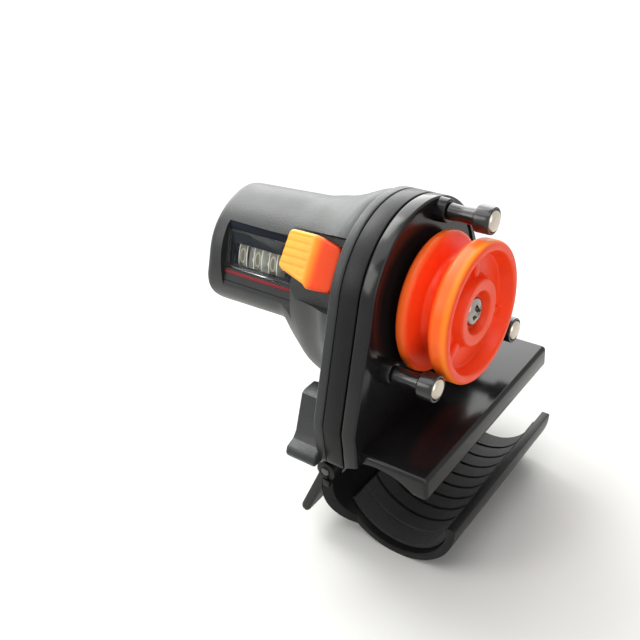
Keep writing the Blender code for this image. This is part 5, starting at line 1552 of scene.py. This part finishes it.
def add_relief(tree, shader, strength, distance, height):
    """Gives a shader its fine relief."""
    links = {"Strength": strength, "Distance": distance, "Height": height}
    relief = add_node(tree, "ShaderNodeBump", links)
    tree.links.new(relief.outputs["Normal"], shader.inputs["Normal"])


def plastic(name, colour, roughness, grain_scale, bump, spread=0.12, wear_and_highlight=0.35, dust=0.05, worn_and_lit_colour=None,
            waviness=0.25, distance=0.00002, ior=1.5):
    """Makes a moulded plastic with grain, tone variation, edge wear with a painted edge highlight, and
    dust.
    """
    tree, shader = new_material(name)
    grain = use_group(
        tree, "Moulded Grain",
        grain_scale=grain_scale, roughness=roughness, spread=spread, waviness=waviness,
    )
    darker = [value * TONE_DOWN for value in colour]
    lighter = [min(1.0, value * TONE_UP + TONE_LIFT) for value in colour]
    base = mix_colour(tree, grain["Tone"], darker, lighter)
    worn_and_lit_colour = worn_and_lit_colour or [min(1.0, value * WORN_AND_LIT_UP + WORN_AND_LIT_LIFT) for value in colour]
    base = mix_colour(tree, use_group(tree, "Edge Wear and Painted Edge Highlight", amount=wear_and_highlight)["Mask"], base, worn_and_lit_colour)
    base = mix_colour(tree, use_group(tree, "Settled Dust", amount=dust)["Mask"], base, DUST_COLOUR)
    tree.links.new(base, shader.inputs["Base Color"])
    tree.links.new(grain["Roughness"], shader.inputs["Roughness"])
    add_relief(tree, shader, bump, distance, grain["Height"])
    fill(shader, IOR=ior)
    return tree, shader, base


def metal(name, colour, roughness, rings, bump):
    """Makes a turned metal with fine rings and uneven polish."""
    tree, shader = new_material(name)
    fill(shader, Metallic=1.0)
    marks = use_group(tree, "Turning Rings", rings=rings, roughness=roughness)
    smear = noise(tree, place_on(tree), 500.0, 3.0)
    base = mix_colour(tree, smear, [value * TONE_DOWN for value in colour], colour)
    tree.links.new(base, shader.inputs["Base Color"])
    tree.links.new(marks["Roughness"], shader.inputs["Roughness"])
    add_relief(tree, shader, bump, RING_DEPTH, marks["Height"])


def soften(shader, weight, radius):
    """Lets light into a plastic."""
    shader.inputs["Subsurface Weight"].default_value = weight
    shader.inputs["Subsurface Radius"].default_value = radius
    shader.inputs["Subsurface Scale"].default_value = 1.0


def wheel_finish():
    """Orange-red wheel, with a painted highlight in warmer orange along its thin rims."""
    tree, shader, base = plastic(
        "wheel_plastic", tuple(colours().wheel), roughness=0.34, grain_scale=1500.0, bump=0.06,
        spread=0.08, wear_and_highlight=0.25, dust=0.0, worn_and_lit_colour=(0.95, 0.20, 0.05), ior=1.32,
    )
    place = place_on(tree)
    centre = (0.0, -WHEEL[0] * MM, -(CASE_AXIS[2] + WHEEL[1]) * MM)
    moved = calculate_vector(tree, "ADD", place, centre)[0]
    flat = calculate_vector(tree, "MULTIPLY", moved, (0.0, 1.0, 1.0))[0]
    reach = calculate_vector(tree, "LENGTH", flat)["Value"]
    # Painted highlight: the rim crowns are mixed towards a lighter warm orange, most on the front rim
    rim = remap(tree, reach, *PAINTED_RIM_HIGHLIGHT_REACH, kind="SMOOTHSTEP")
    front = remap(tree, separate(tree, place)["X"], *PAINTED_RIM_HIGHLIGHT_ALONG, to=PAINTED_RIM_HIGHLIGHT_AMOUNT)
    painted_highlight = mix_colour(tree, calculate(tree, "MULTIPLY", rim, front), base, PAINTED_RIM_HIGHLIGHT_COLOUR)
    tree.links.new(painted_highlight, shader.inputs["Base Color"])
    soften(shader, 0.12, (0.0020, 0.0008, 0.0003))


def knob_finish():
    """Amber knob with painted shade: it turns redder and darker down its sloped foot."""
    tree, shader, base = plastic(
        "knob_plastic", tuple(colours().knob), roughness=0.38, grain_scale=1700.0, bump=0.08,
        spread=0.10, wear_and_highlight=0.3, dust=0.0, worn_and_lit_colour=(1.0, 0.68, 0.20), ior=1.42,
    )
    # Painted shade: the sloped foot is mixed towards a darker red
    slope = remap(tree, separate(tree, place_on(tree))["X"], *KNOB_SHADE_TURN, kind="SMOOTHSTEP")
    tree.links.new(mix_colour(tree, slope, base, FOOT_SHADE_COLOUR), shader.inputs["Base Color"])
    soften(shader, 0.10, (0.0016, 0.0007, 0.0003))


def drum_finish():
    """Dark drum faces between pale worn rims."""
    tree, shader, base = plastic(
        "drum_plastic", (0.74, 0.72, 0.66), roughness=0.42, grain_scale=2600.0, bump=0.1,
        wear_and_highlight=0.1, dust=0.1,
    )
    place = place_on(tree)
    middle = (DRUM_FRONT - DRUM_PITCH - DRUM_WIDTH / 2 + CASE_AXIS[0]) * MM
    offset = calculate(tree, "ADD", separate(tree, place)["X"], -middle)
    half = calculate(tree, "PINGPONG", offset, DRUM_PITCH / 2 * MM)
    face = calculate(tree, "LESS_THAN", half, (DRUM_WIDTH / 2 - DRUM_RIM) * MM)
    streaks = noise(tree, stretched(tree, place, 0.12), 2600.0, 2.0)
    dull = mix_colour(tree, streaks, (0.070, 0.058, 0.040), (0.19, 0.165, 0.115))
    tree.links.new(mix_colour(tree, face, base, dull), shader.inputs["Base Color"])


def window_finish():
    """Clear moulded pane with faint ripples and rubbed patches."""
    tree, shader = new_material("window_clear")
    fill(shader, Base_Color=(0.93, 0.95, 0.95, 1.0), Transmission_Weight=1.0, IOR=1.18)
    haze = noise(tree, place_on(tree), 350.0, 4.0)
    rough = remap(tree, haze, low=0.35, high=0.75, to=(0.01, 0.06))
    tree.links.new(rough, shader.inputs["Roughness"])
    add_relief(tree, shader, 0.05, 0.00004, haze)


def plain_plastics():
    """Makes the plastics and rubbers that need nothing of their own."""
    palette = colours()
    plastic(
        "shell_plastic", tuple(palette.shell), roughness=0.40, grain_scale=1900.0, bump=0.80,
        spread=0.16, wear_and_highlight=0.03, dust=0.03, worn_and_lit_colour=(0.12, 0.12, 0.12), distance=0.00010, ior=1.42,
    )
    plastic(
        "case_plastic", (0.004, 0.0042, 0.0045), roughness=0.38, grain_scale=1900.0, bump=0.60,
        spread=0.14, wear_and_highlight=0.03, dust=0.02, worn_and_lit_colour=(0.10, 0.10, 0.10), distance=0.00007, ior=1.28,
    )
    plastic(
        "front_plastic", tuple(palette.front), roughness=0.17, grain_scale=1300.0, bump=0.05,
        spread=0.10, wear_and_highlight=0.03, dust=0.0, worn_and_lit_colour=(0.06, 0.06, 0.06), waviness=0.8, ior=1.34,
    )
    plastic(
        "post_plastic", (0.010, 0.010, 0.010), roughness=0.19, grain_scale=2600.0, bump=0.10,
        wear_and_highlight=0.06, dust=0.03, worn_and_lit_colour=(0.10, 0.10, 0.10),
    )
    # Near-black with a blue tint, for the drum mask and for the painted shade in the window pocket
    plastic(
        "mask_black", (0.005, 0.008, 0.014), roughness=0.75, grain_scale=2600.0, bump=0.15,
        wear_and_highlight=0.0, dust=0.1, ior=1.25,
    )
    plastic(
        "pad_rubber", (0.012, 0.012, 0.0125), roughness=0.75, grain_scale=2200.0, bump=0.6,
        spread=0.15, wear_and_highlight=0.05, dust=0.10,
    )
    plastic(
        "rule_red", tuple(palette.strip), roughness=0.55, grain_scale=2600.0, bump=0.12,
        spread=0.1, wear_and_highlight=0.1, dust=0.03, worn_and_lit_colour=(0.30, 0.08, 0.08), ior=1.25,
    )
    plastic("figure_ink", (0.30, 0.28, 0.23), roughness=0.5, grain_scale=3500.0, bump=0.1)
    plastic("gear_acetal", (0.70, 0.69, 0.63), roughness=0.42, grain_scale=2400.0, bump=0.12)
    plastic("pinion_acetal", (0.55, 0.28, 0.08), roughness=0.42, grain_scale=2400.0, bump=0.12)


def metals():
    """Makes the metals."""
    metal("polished_steel", (0.60, 0.53, 0.45), roughness=0.20, rings=5000.0, bump=0.1)
    metal("dark_steel", (0.10, 0.10, 0.10), roughness=0.38, rings=5000.0, bump=0.1)
    metal("screw_chrome", (0.36, 0.33, 0.31), roughness=0.16, rings=5000.0, bump=0.1)
    metal("turned_steel", (0.62, 0.61, 0.58), roughness=0.28, rings=7000.0, bump=0.25)
    metal("spring_steel", (0.50, 0.50, 0.49), roughness=0.30, rings=3000.0, bump=0.15)
    metal("brass_turned", (0.70, 0.50, 0.22), roughness=0.30, rings=7000.0, bump=0.25)


def finishes():
    """Builds the shared effects and every finish."""
    grain_group()
    wear_group()
    dust_group()
    turning_group()
    plain_plastics()
    metals()
    wheel_finish()
    knob_finish()
    drum_finish()
    window_finish()


def seen_directly(tree):
    """Gives one for rays that come from the camera, off a shine or through a pane, else nought."""
    rays = tree.nodes.new("ShaderNodeLightPath").outputs
    seen = calculate(tree, "MAXIMUM", rays["Is Camera Ray"], rays["Is Glossy Ray"])
    return calculate(tree, "MAXIMUM", seen, rays["Is Transmission Ray"])


def floor_material(name):
    """Makes the plain pale floor, which turns to plain white away from the object."""
    tree, shader = new_material(name)
    shader.inputs["Roughness"].default_value = 0.9
    shader.inputs["Specular IOR Level"].default_value = 0.1
    shader.inputs["Emission Strength"].default_value = 1.0
    reach = calculate_vector(tree, "LENGTH", place_on(tree))["Value"]
    far = remap(tree, reach, *FLOOR_FADE, kind="SMOOTHSTEP")
    white = calculate(tree, "MULTIPLY", seen_directly(tree), far)
    tree.links.new(mix_colour(tree, white, FLOOR_COLOUR, ORIGIN), shader.inputs["Base Color"])
    tree.links.new(mix_colour(tree, white, ORIGIN, BACKDROP), shader.inputs["Emission Color"])
    return bpy.data.materials[name]


def soft_lamp(name, place, size, energy, colour):
    """Adds one soft rectangular lamp that looks at the counter."""
    data = bpy.data.lights.new(name, "AREA")
    data.shape = "RECTANGLE"
    data.size, data.size_y = size
    data.energy = energy
    data.color = colour
    lamp = add_object(name, data)
    lamp.location = place
    lamp.rotation_euler = (LAMP_AIM - Vector(place)).to_track_quat("-Z", "Y").to_euler()


def add_floor():
    """Adds the floor under the lowest point of the counter."""
    bm = bmesh.new()
    corners = ((-1, -1), (1, -1), (1, 1), (-1, 1))
    bm.faces.new([bm.verts.new((x * FLOOR_HALF, y * FLOOR_HALF, CAD_BOX[0][2])) for x, y in corners])
    mesh = bpy.data.meshes.new("floor")
    bm.to_mesh(mesh)
    bm.free()
    floor = add_object("floor", mesh)
    floor.data.materials.append(floor_material("floor_paper"))


def add_world():
    """Adds a pale world that lights less than it shows."""
    world = bpy.data.worlds.new("studio")
    world.use_nodes = True
    bpy.context.scene.world = world
    sky = world.node_tree.nodes["Background"].inputs
    strength = remap(world.node_tree, seen_directly(world.node_tree), 0.0, 1.0, WORLD_STRENGTH)
    world.node_tree.links.new(strength, sky["Strength"])
    sky["Color"].default_value = (*BACKDROP, 1.0)


def add_camera():
    """Adds the camera at the photograph's angle."""
    data = bpy.data.cameras.new("camera")
    data.sensor_width = SENSOR_WIDTH
    data.lens = LENS
    data.clip_start = CLIP_START
    camera = add_object("camera", data)
    turn = Matrix((CAMERA_RIGHT, CAMERA_UP, CAMERA_BACK)).transposed()
    camera.matrix_world = Matrix.Translation(CAMERA_PLACE * MM + SHIFT) @ turn.to_4x4()
    bpy.context.scene.camera = camera


def studio():
    """Floor, soft lamps, pale world and the camera at the photograph's angle."""
    bpy.context.scene.view_settings.view_transform = "Standard"
    add_floor()
    add_world()
    for lamp in LAMPS:
        soft_lamp(*lamp)
    add_camera()


class CounterOperator:
    """Shared behaviour of the building operators."""

    bl_options = {"REGISTER", "UNDO"}


class COUNTER_OT_finishes(CounterOperator, bpy.types.Operator):
    """Build the shared shader groups and the finishes"""

    bl_idname = "counter.finishes"
    bl_label = "Finishes"

    def execute(self, context):
        finishes()
        return {"FINISHED"}


class COUNTER_OT_rear_shell(CounterOperator, bpy.types.Operator):
    """Build the barrel, its flare, the flange and the upper handle"""

    bl_idname = "counter.rear_shell"
    bl_label = "Barrel Shell"

    def execute(self, context):
        rear_shell()
        return {"FINISHED"}


class COUNTER_OT_case_layers(CounterOperator, bpy.types.Operator):
    """Build the middle and front layers of the case"""

    bl_idname = "counter.case_layers"
    bl_label = "Case Layers"

    def execute(self, context):
        middle_layer()
        front_layer()
        return {"FINISHED"}


class COUNTER_OT_window(CounterOperator, bpy.types.Operator):
    """Build the window, its red strip and the drum mask"""

    bl_idname = "counter.window"
    bl_label = "Window"

    def execute(self, context):
        window_parts()
        return {"FINISHED"}


class COUNTER_OT_drums(CounterOperator, bpy.types.Operator):
    """Build the drum bands and their figures"""

    bl_idname = "counter.drums"
    bl_label = "Figure Drums"

    def execute(self, context):
        figure_drums()
        return {"FINISHED"}


class COUNTER_OT_wheel(CounterOperator, bpy.types.Operator):
    """Build the measuring wheel and its screw"""

    bl_idname = "counter.wheel"
    bl_label = "Measuring Wheel"

    def execute(self, context):
        measuring_wheel()
        wheel_fixings()
        return {"FINISHED"}


class COUNTER_OT_posts(CounterOperator, bpy.types.Operator):
    """Build the three guide posts"""

    bl_idname = "counter.posts"
    bl_label = "Guide Posts"

    def execute(self, context):
        guide_posts()
        return {"FINISHED"}


class COUNTER_OT_knob(CounterOperator, bpy.types.Operator):
    """Build the reset knob"""

    bl_idname = "counter.knob"
    bl_label = "Reset Knob"

    def execute(self, context):
        reset_knob()
        return {"FINISHED"}


class COUNTER_OT_clamp(CounterOperator, bpy.types.Operator):
    """Build the rod clamp, its linings and its pin"""

    bl_idname = "counter.clamp"
    bl_label = "Rod Clamp"

    def execute(self, context):
        clamp_jaw()
        clamp_linings()
        return {"FINISHED"}


class COUNTER_OT_springs(CounterOperator, bpy.types.Operator):
    """Build the two springs"""

    bl_idname = "counter.springs"
    bl_label = "Springs"

    def execute(self, context):
        springs()
        return {"FINISHED"}


class COUNTER_OT_screws(CounterOperator, bpy.types.Operator):
    """Build the case screws"""

    bl_idname = "counter.screws"
    bl_label = "Case Screws"

    def execute(self, context):
        case_screws()
        return {"FINISHED"}


class COUNTER_OT_inner_parts(CounterOperator, bpy.types.Operator):
    """Give the gears, shafts and pinions their finishes"""

    bl_idname = "counter.inner_parts"
    bl_label = "Inner Parts"

    def execute(self, context):
        kept_nodes()
        return {"FINISHED"}


class COUNTER_OT_studio(CounterOperator, bpy.types.Operator):
    """Build the floor, the lamps, the world and the camera"""

    bl_idname = "counter.studio"
    bl_label = "Studio"

    def execute(self, context):
        studio()
        return {"FINISHED"}


OPERATORS = (
    COUNTER_OT_finishes,
    COUNTER_OT_studio,
    COUNTER_OT_rear_shell,
    COUNTER_OT_case_layers,
    COUNTER_OT_window,
    COUNTER_OT_drums,
    COUNTER_OT_wheel,
    COUNTER_OT_posts,
    COUNTER_OT_knob,
    COUNTER_OT_clamp,
    COUNTER_OT_springs,
    COUNTER_OT_screws,
    COUNTER_OT_inner_parts,
)


class COUNTER_PT_panel(bpy.types.Panel):
    """Lists the sizes, the colours and the building steps"""

    bl_idname = "COUNTER_PT_panel"
    bl_label = "Fishing Line Counter"
    bl_space_type = "VIEW_3D"
    bl_region_type = "UI"
    bl_category = "Counter"

    def draw(self, context):
        for group in (context.scene.counter_sizes, context.scene.counter_colours):
            for key in group.__annotations__:
                self.layout.prop(group, key)
        for operator in OPERATORS:
            self.layout.operator(operator.bl_idname)


CLASSES = (CounterSizes, CounterColours, *OPERATORS, COUNTER_PT_panel)


def register():
    """Registers the classes and the scene settings."""
    for item in CLASSES:
        bpy.utils.register_class(item)
    bpy.types.Scene.counter_sizes = PointerProperty(type=CounterSizes)
    bpy.types.Scene.counter_colours = PointerProperty(type=CounterColours)


def unregister():
    """Removes the scene settings and the classes."""
    del bpy.types.Scene.counter_colours
    del bpy.types.Scene.counter_sizes
    for item in reversed(CLASSES):
        bpy.utils.unregister_class(item)


def main():
    """Runs every building step."""
    register()
    for operator in OPERATORS:
        area, name = operator.bl_idname.split(".")
        getattr(getattr(bpy.ops, area), name)()


if __name__ == "__main__":
    main()
